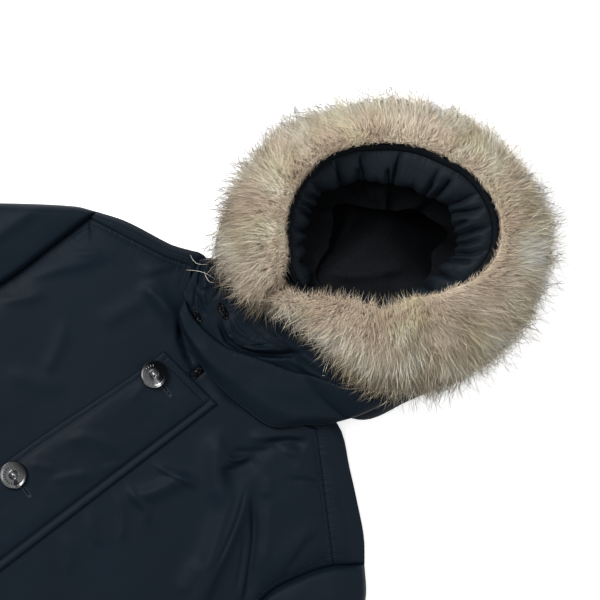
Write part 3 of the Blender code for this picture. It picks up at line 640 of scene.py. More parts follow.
# ------------------------------------------------------------------ placket
# A padded strip of the same cloth over the front opening: folded and stitched round its free
# edges, and sewn to the wearer's left front, where a second row draws in a soft valley.

PLACKET_TOP, PLACKET_WIDTH, PLACKET_LENGTH = 5.0, 80.0, 704.0
PLACKET_LIFT = 0.4
PLACKET_ROW = 7.5  # its stitching, from the edges
PLACKET_FULL = 6.2
PLACKET = patch(
    curve([(-70, HEM + 1), (-70, -190), (-62, -50), (-61, -5)]),
    curve([(PLACKET_SEAM, HEM + 1), (PLACKET_SEAM, PLACKET_TOP)]),
    straight((-70, HEM + 1), (PLACKET_SEAM, HEM + 1)),
    straight((-61, -5), (PLACKET_SEAM, PLACKET_TOP)),
)
PLACKET_FOLDS = [
    # height, width on the right and on the left, path
    (1.2, 8, 5, (-54, -146), (-43, -121), (-27, -108), (-4, -99)),
    (1.0, 5, 3, (-7, -131), (-1, -115), (8, -103)),
    (1.1, 6, 3, (-28, -177), (-20, -155), (-11, -141), (0, -136)),
    (0.9, 5, 3, (-57, -182), (-46, -173), (-33, -162)),
    (0.8, 3, 2, (-24, -31), (-11, -36), (4, -43)),
    (0.7, 4, 3, (-47, -38), (-45, -50), (-40, -64)),
]


def front_top(x, y):
    """Height of the fronts' upper face away from their side seams."""
    padded = FRONT_TOP + folds_at(FRONT_FOLDS, x, y) + front_lumps(x, y)
    return mix(2 * SEAM_HALF + SEAM_GAP, padded, swell(y - HEM))


def placket_top(u, v, x, y):
    """How thick the placket is."""
    free, sewn, end = u * PLACKET_WIDTH, (1 - u) * PLACKET_WIDTH, (1 - v) * (PLACKET_TOP - HEM)
    edge = np.minimum(np.minimum(free, sewn), end)
    full = swell(free - PLACKET_ROW, 15) * swell(sewn - PLACKET_ROW - 0.5, 19) * swell(end - PLACKET_ROW, 13)
    thick = mix(3.2, PLACKET_FULL, full) * mix(0.55, 1.0, swell(edge, 2.5))
    for away, depth, wide in ((free, 0.6, 1.2), (sewn, 2.0, 2.2), (end, 0.5, 1.2)):
        thick = thick - depth * hump(away, PLACKET_ROW, wide)
    wrinkles = 0.45 * hump(edge, 4.0, 3.0) * crumple(x, y, 5.5, 9.1) + full * (
        folds_at(PLACKET_FOLDS, x, y) + 0.5 * crumple(x, y, 33.0, 1.9) + 0.25 * crumple(x, y, 11.0, 4.2)
    )
    return np.maximum(thick + wrinkles, 1.0)


def placket_place(u, v, skin):
    x, y = PLACKET(u, v).T
    floor = front_top(x, y) + PLACKET_LIFT
    return np.stack([x, y, floor + skin * placket_top(u, v, x, y)], -1)


placket = panel(
    "placket_cloth",
    spaced((12, 1.2), (56, 2.4), (12, 1.2)) / PLACKET_WIDTH,
    spaced((500, 12), (20, 4), (172, 2.4), (12, 1.2)) / PLACKET_LENGTH,
    placket_place,
    navy,
    "navy_cloth",
    "placket",
)
placket_rows = [
    [(-64, HEM + 8), (-63, -190), (-55, -50), (-54, -12)],
    [(5, HEM + 8), (5, -3)],
    [(-54, -12), (5, -3)],
]
draw_in(placket, placket_rows, 4.0, 0.35)


# ------------------------------------------------------------------ buttons and buttonholes
# Dished discs of dark polished metal with a raised rim, a ring of long beads and a hub, each on a shank,
# with a painted reflection on one side of each face and painted shade on the other. The buttonholes are cut across the
# placket, with satin stitched lips and a bar tack.

BUTTON_PLACES = [(-49.0, -27.0), (-55.0, -200.0), (-56.0, -373.0), (-56.0, -546.0)]
BUTTON_TILTS = [(2.0, -3.0), (-2.5, 1.5), (1.5, 2.0), (-1.0, -2.0)]  # degrees about X and Y
BUTTON_PROFILE = [
    # radius, height
    (0, 0), (5, 0), (10, 0.3), (13.2, 1.4), (13.9, 2.3), (13.9, 2.9), (13.5, 3.4), (12.9, 3.5), (12.3, 3.2),
    (11.9, 2.75), (10.5, 2.5), (8.0, 2.3), (5.6, 2.25), (4.7, 2.4), (4.3, 2.9), (3.9, 3.2), (3.5, 3.1),
    (3.2, 2.6), (2.9, 1.7), (2.4, 1.6), (2.1, 2.0), (1.7, 2.6), (1.0, 3.0), (0, 3.1),
]  # fmt: skip
BUTTON_SIDES = 56
BUTTON_LIFT = 0.9  # over the placket, on its shank
BEADS, BEAD_CIRCLE, BEAD_HEIGHT, BEAD_RADIUS = 22, 8.9, 2.42, 0.95
BEAD_LONG, BEAD_NARROW = 1.7, 0.72  # each bead is drawn out towards the rim
BUTTON_PAINTED_REFLECTIONS = [-0.25, 0.35, 0.0, 0.2]  # how much of each face is painted with the light's reflection
BEAD_CORNERS = 12  # of a bead's mesh
BEAD_CONTRAST = 1.7  # beads are painted dark where the face beside them has its painted reflection, and light where it has none
# the metal's colour in painted shade and in its painted reflection
PEWTER_PAINTED_DULL, PEWTER_PAINTED_BRIGHT = (0.006, 0.0065, 0.008), (0.33, 0.335, 0.34)
HUB_RADIUS, TIP_RADIUS, FACE_RADIUS = 5.2, 2.6, 13.0

pewter, pewter_shader = finish("dark_pewter", (0.14, 0.14, 0.15), 0.24, Metallic=1.0)
scratches = add_node(pewter, "ShaderNodeTexNoise", Vector=object_place(pewter), Scale=420.0, Detail=3.0)
join(pewter, ranged(pewter, scratches.outputs["Fac"], 0.3, 0.7, 0.17, 0.34), pewter_shader.inputs["Roughness"])
painted_reflection = add_node(pewter, "ShaderNodeAttribute", set_attribute_name="painted_reflection").outputs["Fac"]
join(pewter, blend(pewter, painted_reflection, PEWTER_PAINTED_DULL, PEWTER_PAINTED_BRIGHT), pewter_shader.inputs["Base Color"])
thread = finish("navy_thread", (0.0135, 0.022, 0.034), 0.6, Specular_IOR_Level=0.2)[0]


def turn_round(bm, profile, steps):
    """Turns a profile all round the Z axis."""
    whole = {"axis": (0, 0, 1), "cent": (0, 0, 0), "angle": math.tau, "use_merge": True}
    bmesh.ops.spin(bm, geom=profile, steps=steps, **whole)
    bmesh.ops.remove_doubles(bm, verts=bm.verts, dist=1e-4)


for number, ((x, y), (tilt_x, tilt_y)) in enumerate(zip(BUTTON_PLACES, BUTTON_TILTS), start=1):
    bm = bmesh.new()
    profile = [bm.verts.new((radius, 0, height)) for radius, height in BUTTON_PROFILE]
    edges = [bm.edges.new(pair) for pair in zip(profile, profile[1:])]
    turn_round(bm, profile + edges, BUTTON_SIDES)
    for bead in range(BEADS):
        turn = math.tau * bead / BEADS
        at = Matrix.Rotation(turn, 4, "Z") @ Matrix.Translation((BEAD_CIRCLE, 0, BEAD_HEIGHT))
        at = at @ Matrix.Diagonal((BEAD_LONG, BEAD_NARROW, 1.0, 1.0))
        bmesh.ops.create_icosphere(bm, subdivisions=1, radius=BEAD_RADIUS, matrix=at)
    bm.normal_update()
    bmesh.ops.recalc_face_normals(bm, faces=bm.faces)
    floor = front_top(np.array([x]), np.array([y]))[0] + PLACKET_LIFT + PLACKET_FULL + BUTTON_LIFT
    tilted = Matrix.Rotation(math.radians(tilt_x), 4, "X") @ Matrix.Rotation(math.radians(tilt_y), 4, "Y")
    bm.transform(Matrix.Scale(MM, 4) @ Matrix.Translation((x, y, floor)) @ tilted)
    disc = add_piece(f"button_{number}_disc", bm, pewter, "button_metal", f"button_{number}")
    spots = np.array([vert.co for vert in disc.data.vertices]) / MM - (x, y, 0)
    away = np.hypot(spots[:, 0], spots[:, 1])
    # Painted reflection: each face is painted bright towards one side and dark on the other, its hub painted dull, its
    # tip painted as a highlight, and its beads painted the other way round.
    painted_reflection_share = 0.55 * ease(0.5 + BUTTON_PAINTED_REFLECTIONS[number - 1] - spots[:, 1] / 20)
    painted_reflection_share = np.where(away > FACE_RADIUS, 0.0, np.where(away < HUB_RADIUS, 0.15, painted_reflection_share))
    painted_reflection_share = np.where(away < TIP_RADIUS, 0.9, painted_reflection_share)
    is_bead = np.arange(len(spots)) >= len(spots) - BEAD_CORNERS * BEADS
    layer = disc.data.attributes.new("painted_reflection", "FLOAT", "POINT")
    layer.data.foreach_set("value", np.where(is_bead, 1.0 - BEAD_CONTRAST * painted_reflection_share, painted_reflection_share).astype(np.float32))


# ------------------------------------------------------------------ sleeves
# Padded tubes of the same cloth, full beside the armhole's seam, pressed flat and plain at
# the cuff.

SLEEVE_FULL, CUFF_FULL = 25.0, 13.0
SLEEVE_LENGTH = 690.0
ARMHOLE_WIDTH, CUFF_WIDTH = 240.0, 140.0
SLIT = 0.6
SLEEVE_SIDE = 0.42  # height of its folded sides, as a share of its thickness
SLEEVE_TUCK = 0.3  # in at the seam
SLEEVE_ARM_ROWS = ARM_ROWS + 1
SLEEVES = [
    # side, upper edge, under edge, armhole, where the shoulder's roll ends, direction away from the body, seed
    (
        "right",
        curve([(-214.5, 26), (-232, 12), (-279, -44), (-420, -222), (-560, -400), (-629, -487)]),
        curve([(-275, UNDERARM), (-326, -302), (-396, -405), (-512, -580)]),
        ARMHOLE_RIGHT,
        TOP_RIGHT(0.0),
        -1,
        2.0,
    ),
    (
        "left",
        curve([(231, 24), (259, 4), (350, -95), (470, -245), (560, -370), (628, -470)]),
        curve([(277, UNDERARM), (331, -305), (408, -415), (508, -566)]),
        ARMHOLE_LEFT,
        TOP_LEFT(1.0),
        1,
        6.0,
    ),
]
SLEEVE_FOLDS = [
    # share of the length at the upper edge and at the under edge, width, height
    (0.085, 0.11, 0.020, 3.0),
    (0.17, 0.13, 0.025, 3.2),
    (0.30, 0.34, 0.03, 3.0),
    (0.45, 0.40, 0.035, 3.4),
    (0.60, 0.66, 0.03, 2.6),
    (0.77, 0.72, 0.03, 2.6),
    (0.90, 0.93, 0.02, 1.8),
]
SLEEVE_OUTSIDE = spaced((60, 3.2), (60, 6), (570, 14)) / SLEEVE_LENGTH
SLEEVE_INSIDE = SLEEVE_OUTSIDE[::-1][::6]
SLEEVE_RINGS = np.unique(np.concatenate([SLEEVE_OUTSIDE, 2 - SLEEVE_INSIDE, [2.0]]))
SLEEVE_ACROSS = spaced((0.06, 0.010), (0.88, 0.025), (0.06, 0.015))
SLEEVE_AROUND = np.concatenate([SLEEVE_ACROSS, 2 - SLEEVE_ACROSS[::-1][1::3]])
SLEEVE_AROUND = np.append(SLEEVE_AROUND[SLEEVE_AROUND < 1.999], 2.0)


def sleeve_points(edge, under, armhole, top, outwards, seed, share, along, upper, inside):
    """Points of a sleeve, at a share from its upper to its under edge and a share along it."""

    def seam(share):
        row = share * SLEEVE_ARM_ROWS
        rolled = mix(np.asarray(top), armhole(1.0), np.clip(row, 0, 1)[:, None])
        return np.where((row < 1)[:, None], rolled, armhole(1 - (row - 1) / ARM_ROWS))

    pulled_in = np.where(inside, mix(0.03, 0.97, share), share)
    bow = seam(pulled_in) - mix(edge(0.0), under(0.0), pulled_in[:, None])
    chord = mix(edge(along), under(along), pulled_in[:, None])
    x, y = (chord + bow * ((1 - along) ** 3)[:, None]).T
    from_edge = np.minimum(share, 1 - share) * mix(ARMHOLE_WIDTH, CUFF_WIDTH, along)
    ripple = 1 + 0.1 * np.sin(along * 19.0 + share * 2.0) * ease(along * 6)
    full = mix(SLEEVE_FULL, CUFF_FULL, ease(along)) * ripple
    rising = 0.62 * swell(along * SLEEVE_LENGTH, 7.0) + 0.38 * swell(along * SLEEVE_LENGTH, 44.0)
    full = mix(2 * SEAM_HALF, full, rising)
    middle = full * SLEEVE_SIDE
    creases = sum(height * hump(along, mix(high, low, share), width) for high, low, width, height in SLEEVE_FOLDS)
    creases += 1.3 * crumple(x, y, 30.0, seed) + 0.5 * crumple(x, y, 11.0, seed + 3)
    creases *= swell(from_edge, 30.0) * ease(along * SLEEVE_LENGTH / 14)
    over = mix(middle, full, swell(from_edge, 30.0)) + creases
    height = np.where(upper, over, mix(middle, 0.0, swell(from_edge, 7.0)))
    height = np.where(inside, middle + np.where(upper, SLIT / 2, -SLIT / 2), height)
    return np.stack([x - outwards * SLEEVE_TUCK, y, height], -1)


for side, edge, under, armhole, top, outwards, seed in SLEEVES:
    bm = bmesh.new()
    bmesh.ops.create_grid(bm, x_segments=len(SLEEVE_AROUND) - 1, y_segments=len(SLEEVE_RINGS), size=0.5)
    s, ring, _ = grid_values(bm, SLEEVE_AROUND, np.append(SLEEVE_RINGS, 0.0))
    inside = ring > 1.0
    along = np.where(inside, 2 - ring, ring)
    upper = s <= 1.0
    share = np.where(upper, s, 2 - s)
    points = sleeve_points(edge, under, armhole, top, outwards, seed, share, along, upper, inside)
    place_grid(bm, points, points[:, :2])
    sleeve = add_piece(f"sleeve_{side}_cloth", bm, navy, "navy_cloth", f"sleeve_{side}")
    draw_in(sleeve, ARMHOLES, 5.0, 0.35)


# ------------------------------------------------------------------ hood shell, lining and facing
# Two halves of padded navy cloth with a seam over the crown, lined with dark fleece. A gathered
# facing of the navy cloth runs round inside the edge, and a folded strip binds the edge.

HOOD_MIDDLE = (-20.0, 240.0)
CHIN, CROWN = -99.0, 80.0  # directions in which the hood's ends meet and of the seam over the crown
SHELL_THICK, LINING_THICK, LINING_GAP = 6.0, 3.0, 1.0
FACING_GAP = 2.0
SECTION_STEP = 15.0
# Sections through the hood, every 15 degrees from -180 (the wearer's right): radius of the rim,
# radius that the fur reaches, radius of the shell's widest part, width of the facing that shows.
HOOD_SECTIONS = np.array([
    (95, 141, 130, 24), (96, 148, 138, 20), (97, 156, 148, 17), (97, 164, 160, 14), (96, 172, 169, 11),
    (100, 160, 158, 8), (94, 133, 148, 3), (79, 125, 152, 2), (71, 134, 170, 2), (70, 148, 186, 3),
    (71, 160, 168, 4), (74, 168, 160, 6), (83, 171, 158, 11), (92, 170, 158, 20), (102, 170, 158, 27),
    (110, 169, 157, 31), (111, 164, 152, 33), (107, 154, 142, 34), (101, 146, 134, 34), (94, 141, 129, 34),
    (91, 139, 127, 33), (89, 136, 125, 32), (89, 134, 124, 31), (92, 136, 126, 28),
], float)  # fmt: skip
RIM, FUR_REACH, SHELL, FACING = range(4)
RIM_HEIGHT_MEAN, RIM_HEIGHT_SWING = 93.0, 33.0
KNOT_SHARES = np.array([0.0, 0.22, 0.42, 0.52, 0.62, 0.74, 0.86, 1.0])
WIDEST_SHARE, NARROW_SHARE = 0.62, 0.86
FLOOR_INSET = 24.0  # from the shell's widest part to where it leaves the floor
NECK_OUT, RIM_OUT = 17.0, 6  # how far outside the facing and the rim the shell's narrow part and its edge stand
BELLY_HEIGHT, NARROW_HEIGHT, LIP_HEIGHT = 0.38, 0.72, 0.44  # shares of the rim's height


def section(column, angle):
    """A column of the table of sections, at any directions in degrees."""
    values = HOOD_SECTIONS[:, column]
    step = ((angle + 180.0) / SECTION_STEP) % len(values)
    i, t = np.floor(step).astype(int), step % 1.0
    before, start, end, after = (values[(i + k) % len(values)] for k in (-1, 0, 1, 2))
    return bend(start, end, (end - before) / 2, (after - start) / 2, t)


def rim_height(angle):
    return RIM_HEIGHT_MEAN + RIM_HEIGHT_SWING * np.cos(np.radians(angle - CROWN))


def hood_knots(angle):
    """Radius and height of the shell's outer face at the knot shares, from its middle to the rim."""
    widest, rim = section(SHELL, angle), section(RIM, angle)
    top = rim_height(angle)
    belly, foot, none = BELLY_HEIGHT * top, widest - FLOOR_INSET, 0.0 * top
    narrow, narrow_height = rim - section(FACING, angle) + NECK_OUT, NARROW_HEIGHT * top
    shoulder = mix(widest, narrow, 0.4), mix(belly, narrow_height, 0.8)
    radii = none, 0.55 * foot, foot, widest - 5, widest, shoulder[0], narrow, rim + RIM_OUT
    heights = none, none, none, 0.42 * belly, belly, shoulder[1], narrow_height, top
    return np.stack([np.stack(radii, -1), np.stack(heights, -1)], -1)


def hood_face(angle, share, depth):
    """Radius and height of a face of the hood, at a depth inwards from the shell's outer face."""
    knots = hood_knots(angle)
    last = len(KNOT_SHARES) - 1
    rows = np.arange(len(angle))
    spans = np.linalg.norm(np.diff(knots, axis=1), axis=2)
    low, high = np.r_[0, 0:last], np.r_[1 : last + 1, last]
    padded = np.pad(spans, ((0, 0), (1, 1)))
    slopes = (knots[:, high] - knots[:, low]) / (padded[:, :-1] + padded[:, 1:])[..., None]
    i = np.clip(np.searchsorted(KNOT_SHARES, share, side="right") - 1, 0, last - 1)
    t = ((share - KNOT_SHARES[i]) / (KNOT_SHARES[i + 1] - KNOT_SHARES[i]))[:, None]
    start, end, span = knots[rows, i], knots[rows, i + 1], spans[rows, i][:, None]
    slope_in, slope_out = slopes[rows, i] * span, slopes[rows, i + 1] * span
    place = bend(start, end, slope_in, slope_out, t)
    heading = start * (6 * t * t - 6 * t) + end * (6 * t - 6 * t * t) + slope_in * (1 - 4 * t + 3 * t * t)
    heading = heading + slope_out * (3 * t * t - 2 * t)
    flat = share <= KNOT_SHARES[2]
    place[flat, 1] = 0.0
    heading[flat] = 1.0, 0.0
    place[:, 1] = np.maximum(place[:, 1], 0.0)
    heading = unit(heading)
    return place + np.stack([-heading[:, 1], heading[:, 0]], -1) * np.asarray(depth)[..., None]


def wrapped(angle):
    """A direction between -180 and 180 degrees."""
    return (angle + 180.0) % 360.0 - 180.0


def round_hood(angle, radius, height, aside=0.0):
    """Places at a radius and height round the hood's middle."""
    turn, crown = np.radians(angle), math.radians(CROWN)
    x = HOOD_MIDDLE[0] + np.maximum(radius, 0.0) * np.cos(turn) + aside * math.sin(crown)
    y = HOOD_MIDDLE[1] + np.maximum(radius, 0.0) * np.sin(turn) - aside * math.cos(crown)
    return np.stack([x, y, height], -1)


def round_crumple(angle, along, size, seed):
    """Unevenness like crumple's, which meets itself where the ring closes. The size is in degrees."""
    turn, radius = np.radians(angle), 57.3 / size
    spots = np.stack([radius * np.cos(turn), radius * np.sin(turn), along / size + seed], -1)
    return np.array([noise.noise(Vector(spot)) for spot in spots.tolist()])


def shell_thickness(share):
    """The shell thins towards the rim."""
    return mix(SHELL_THICK, 2.0, ease((share - 0.86) / 0.14))


fleece, fleece_shader = finish("dark_fleece", (0.0075, 0.0072, 0.0080), 0.95, Specular_IOR_Level=0.03)
place_in_hood = object_place(fleece)
nap = add_node(
    fleece, "ShaderNodeTexNoise", Vector=place_in_hood, Scale=520.0, Detail=5.0, Roughness=0.7
).outputs["Fac"]
nap_tone = blend(fleece, nap, (0.0018, 0.0021, 0.0027), (0.0142, 0.0156, 0.0185))
height = add_node(fleece, "ShaderNodeSeparateXYZ", Vector=place_in_hood).outputs["Z"]
towards_crown = add_node(
    fleece, "ShaderNodeVectorMath", set_operation="DOT_PRODUCT", _0=place_in_hood, _1=(-0.62, 0.78, 0)
).outputs["Value"]
# Painted shade: the pile is painted darker, down to near black, deep in the hood and towards the crown.
painted_depth_shade = ranged(fleece, height, 0.008, 0.027, 0.06, 1.0)
crown = ranged(fleece, towards_crown, 0.158, 0.210, 1.0, 0.22)
pile = blend(fleece, product(fleece, painted_depth_shade, crown), (0.0006, 0.0008, 0.0011), nap_tone)
join(fleece, pile, fleece_shader.inputs["Base Color"])
join(fleece, bumped(fleece, nap, 0.8, 0.6), fleece_shader.inputs["Normal"])

SHELL_SHARES = np.concatenate([spaced((0.42, 0.06)), 0.42 + spaced((0.44, 0.018))[1:], 0.86 + spaced((0.14, 0.02))[1:]])
LINING_SHARES = np.concatenate([spaced((0.42, 0.012)), 0.42 + spaced((0.18, 0.02), (0.20, 0.007))[1:]])
HALVES = {"left": (CHIN, CROWN, 0.02), "right": (CROWN, CHIN + 360.0, -0.02)}
HALF_STEPS = spaced((1.0, 1 / 90))
LINING_FOLDS = [
    # height, width on the right and on the left, path
    (6.0, 6, 4, (-36, 178), (-28, 174), (-10, 188), (0, 202), (8, 217), (24, 247)),
    (5.0, 5, 5, (-36, 174), (-60, 168), (-78, 152)),
    (6.0, 9, 6, (-86, 208), (-72, 197), (-50, 188)),
    (7.0, 9, 6, (0, 148), (20, 170), (28, 196)),
    (5.0, 12, 10, (-64, 236), (-20, 262), (24, 276)),
    (5.0, 8, 6, (-70, 250), (-52, 226), (-40, 196)),
    (4.0, 10, 8, (30, 210), (46, 236), (50, 262)),
]
# How near to the hood's middle the slack lining hangs inside the facing: direction, distance.
LINING_HANGS = [
    (-161, 62), (-150, 54), (-136, 50), (-109, 57), (-101, 80), (-60, 80), (-30, 72), (-8, 62), (17, 60), (24, 52),
    (34, 50), (44, 58), (53, 68), (60, 58), (70, 48), (92, 40), (104, 31), (113, 26), (140, 24), (167, 27), (182, 36),
    (193, 46),
]  # fmt: skip
for side, (start, end, aside) in HALVES.items():

    def shell_place(u, v, skin):
        angle = mix(start, end, u)
        lumps = 0.8 * crumple(angle, v * 150, 12.0, 3.0) * ease((0.86 - v) / 0.1) * (v > 0.45)
        depth = (1 - skin) * shell_thickness(v) - skin * lumps
        return round_hood(angle, *hood_face(angle, v, depth).T, aside)

    def lining_place(u, v, skin):
        angle = mix(start, end, u)
        depth = SHELL_THICK + LINING_GAP + (1 - skin) * LINING_THICK
        radius, height = hood_face(angle, v, depth).T
        table = np.array(LINING_HANGS, float).T
        hangs = sum(np.interp(angle + turn, *table, period=360) for turn in (-6, -3, 0, 3, 6)) / 5
        slack = (1 - skin) * ease((v - 0.60) / 0.10) * (1 - ease((v - 0.70) / 0.10) ** 1.3)
        soft = 11.0 * round_crumple(angle, v * 60, 22.0, 9.0) + 4.0 * round_crumple(angle, v * 200, 9.0, 1.0)
        ridge = hump(v - 0.745, 0.01 * np.sin(angle / 9), 0.012) * ease(1.3 - np.abs(angle - 138) / 36)
        soft = soft + 6.0 * ridge
        in_lip = (1 - skin) * ease((v - 0.62) / 0.06) * ease((0.795 - v) / 0.03)
        height = mix(height, LIP_HEIGHT * rim_height(angle), slack) + soft * in_lip
        place = round_hood(angle, mix(radius, hangs, slack), height, aside)
        x, y = place[:, :2].T
        lumps = folds_at(LINING_FOLDS, x, y) + 1.6 * crumple(x, y, 34.0, 8.8) + 0.8 * crumple(x, y, 12.0, 2.8)
        lumps = lumps + 17.0 * ease((x + 46) / 30) * ease((268 - y) / 36)
        place[:, 2] += (1 - skin) * (4.0 + lumps) * ease((0.5 - v) / 0.12)
        return place

    def laid_out(u, v):
        return np.stack([mix(start, end, u) * 2.0, v * 240.0], -1)

    shell = panel(
        f"hood_shell_{side}_cloth", HALF_STEPS, SHELL_SHARES, shell_place, navy, "navy_cloth", f"hood_shell_{side}",
        flat=laid_out,
    )  # fmt: skip
    lining = panel(
        f"hood_lining_{side}_cloth", HALF_STEPS, LINING_SHARES, lining_place, fleece, "fleece_lining",
        f"hood_lining_{side}", flat=laid_out,
    )  # fmt: skip

EDGE_START, EDGE_END = CHIN + 0.1, CHIN + 360.0 - 0.1
FACING_EDGE, BINDING_EDGE = 0.815, 0.966
BINDING_START, BINDING_END = 0.961, 0.992
FACING_SHARES = FACING_EDGE + spaced((0.03, 0.005), (0.105, 0.0075), (0.05, 0.005))
# Creases of the facing: direction at its inner edge and at the outer end, share of the way to the
# rim at that end, half width in degrees.
FACING_CREASES = [
    (165, 159, 0.96, 2.6), (170, 165, 0.90, 2.0), (-172, 176, 0.95, 2.6), (134, 132, 0.97, 2.6), (134, 139, 0.90, 2.0),
    (84, 92, 0.93, 2.6), (93, 102, 0.94, 1.6), (77, 75, 0.96, 2.4), (69, 67, 0.95, 2.4), (53, 61, 0.90, 1.6),
    (48, 56, 0.96, 2.4), (40, 48, 0.93, 1.8), (32, 43, 0.96, 2.4), (26, 35, 0.93, 1.8), (13, 20, 0.95, 2.2),
    (-1, 3, 0.93, 1.8), (-18, -16, 0.95, 1.6),
    (-30, -27, 0.92, 1.8), (-44, -41, 0.95, 1.8), (-60, -58, 0.92, 1.8), (-76, -78, 0.95, 1.8), (-92, -94, 0.95, 1.8),
    (-108, -110, 0.92, 1.6), (-120, -121, 0.95, 1.6), (-130, -131, 0.95, 1.6), (-141, -143, 0.95, 1.8),
    (-147, -149, 0.94, 1.6), (-156, -155, 0.95, 1.8), (-162, -162, 0.95, 2.0), (150, 150, 0.855, 1.2),
    (108, 110, 0.86, 1.2), (118, 117, 0.85, 1.2),
]  # fmt: skip
PUFF, PUFF_REACH = 18.0, 13.0  # how fat the facing's puffs are, and how far from a crease they are full


def from_crease(angle, share):
    """How far the facing's places are from its nearest crease, in millimetres."""
    bent = angle + 1.6 * round_crumple(angle, share * 160, 9.0, 2.0)
    nearest = np.full_like(angle, 40.0)
    for inner, outer, end, half in FACING_CREASES:
        along = np.clip((share - FACING_EDGE) / (end - FACING_EDGE), 0.0, 1.0)
        away = np.abs(wrapped(bent - inner - wrapped(outer - inner) * along)) * 1.5
        nearest = np.minimum(nearest, np.hypot(away, np.maximum(share - end, 0) * 260) + 1.2 * (2.6 - half) * along)
    return nearest


def facing_place(u, v, skin):
    angle = mix(EDGE_START, EDGE_END, u)
    cushion = mix(mix(0.9, 0.0, ease((v - 0.852) / 0.04)), 1.0, swell(from_crease(angle, v), PUFF_REACH))
    wider = 1 + 0.35 * hump(angle, 82.0, 34.0)
    puff = PUFF * wider * (0.8 + 0.45 * round_crumple(angle, v * 60, 24.0, 6.0)) * cushion
    puff = puff * swell(BINDING_EDGE - 0.004 - v, 0.1) * mix(0.35, 1.0, swell(v - FACING_EDGE, 0.03))
    puff = puff + 0.5 * round_crumple(angle, v * 120, 5.0, 1.0) * swell(BINDING_EDGE - v, 0.02)
    depth = shell_thickness(v) + FACING_GAP + (1 - skin) * (mix(3.0, 1.6, ease((v - 0.80) / 0.20)) + puff)
    return round_hood(angle, *hood_face(angle, v, depth).T)


# Painted light: the facing is the shell's navy cloth painted lighter and greyer, standing in for its sheen and the
# light on its puffs.
facing_painted_lighter = navy_finish("navy_facing_cloth_painted_light", (0.0070, 0.0105, 0.0148))
facing = panel(
    "hood_facing_cloth", spaced((1.0, 1 / 640)), FACING_SHARES, facing_place, facing_painted_lighter, "navy_cloth", "hood_facing",
    flat=lambda u, v: np.stack([u * 900.0, v * 240.0], -1),
)  # fmt: skip
hood_ring = np.linspace(-180, 180, 73)
rim_ring = round_hood(hood_ring, section(RIM, hood_ring) - 8, 0 * hood_ring)[:, :2]
draw_in(facing, [rim_ring, mix(np.array(HOOD_MIDDLE), rim_ring, 0.66)], 8.0, 0.8)


def binding_place(u, v, skin):
    angle = mix(EDGE_START, EDGE_END, u)
    share = mix(BINDING_START, BINDING_END, v)
    roll = np.sin(math.pi * v) * (1 + 0.25 * crumple(angle, v * 3, 2.4, 5.0))
    depth = shell_thickness(share) + FACING_GAP + 2.2 + skin * (0.8 + 2.6 * roll)
    return round_hood(angle, *hood_face(angle, share, depth).T)


# Painted shade: the binding is the navy cloth painted far darker than the shell, as the shade under the fur's edge.
binding_painted_shade = navy_finish("binding_cloth_in_painted_shade", (0.0012, 0.0026, 0.0044))
binding = panel(
    "hood_binding_strip", spaced((1.0, 1 / 360)), spaced((1.0, 0.125)), binding_place, binding_painted_shade, "edge_binding",
    "hood_binding", flat=lambda u, v: np.stack([u * 700.0, v * 8.0], -1),
)  # fmt: skip


# ------------------------------------------------------------------ throat piece, collar and grip pads
# The hood's front neck is gathered along the fur. The stand collar is folded down over it and
# over the fronts. Pads of hook and loop close the throat piece.

THROAT = patch(
    curve([(-96, 44), (-104, 62), (-112, 80)]),
    curve([(104, 104), (110, 128), (113, 150)]),
    curve([(-96, 44), (-60, 34), (-20, 38), (30, 60), (70, 84), (104, 104)]),
    curve([(-112, 80), (-104, 92), (-84, 97), (-60, 101), (-38, 106), (-3, 118), (39, 124), (75, 130), (113, 150)]),
)
COLLAR = patch(
    curve([(-80, 27), (-86, 35), (-90, 43)]),
    curve([(97, 80), (108, 110), (116, 146)]),
    curve([(-80, 27), (-63, 20), (-22, 15), (3, 16.5), (35, 23), (64, 33), (81, 58), (97, 80)]),
    curve([(-90, 43), (-67, 39), (-28, 47), (0, 65), (30, 84), (51, 100), (80, 121), (116, 146)]),
)
THROAT_LOW, THROAT_HIGH, THROAT_THICK = 20.0, 31.0, 5.0
THROAT_WIDTH, THROAT_LENGTH = 60.0, 200.0
COLLAR_WIDTH, COLLAR_LENGTH, COLLAR_THICK, COLLAR_LIFT = 70.0, 200.0, 7.0, 2.7
COLLAR_EDGE_THICK, COLLAR_GAP = 2.5, 1.6
COLLAR_ROW = 2.7  # its stitching, from the folded edge
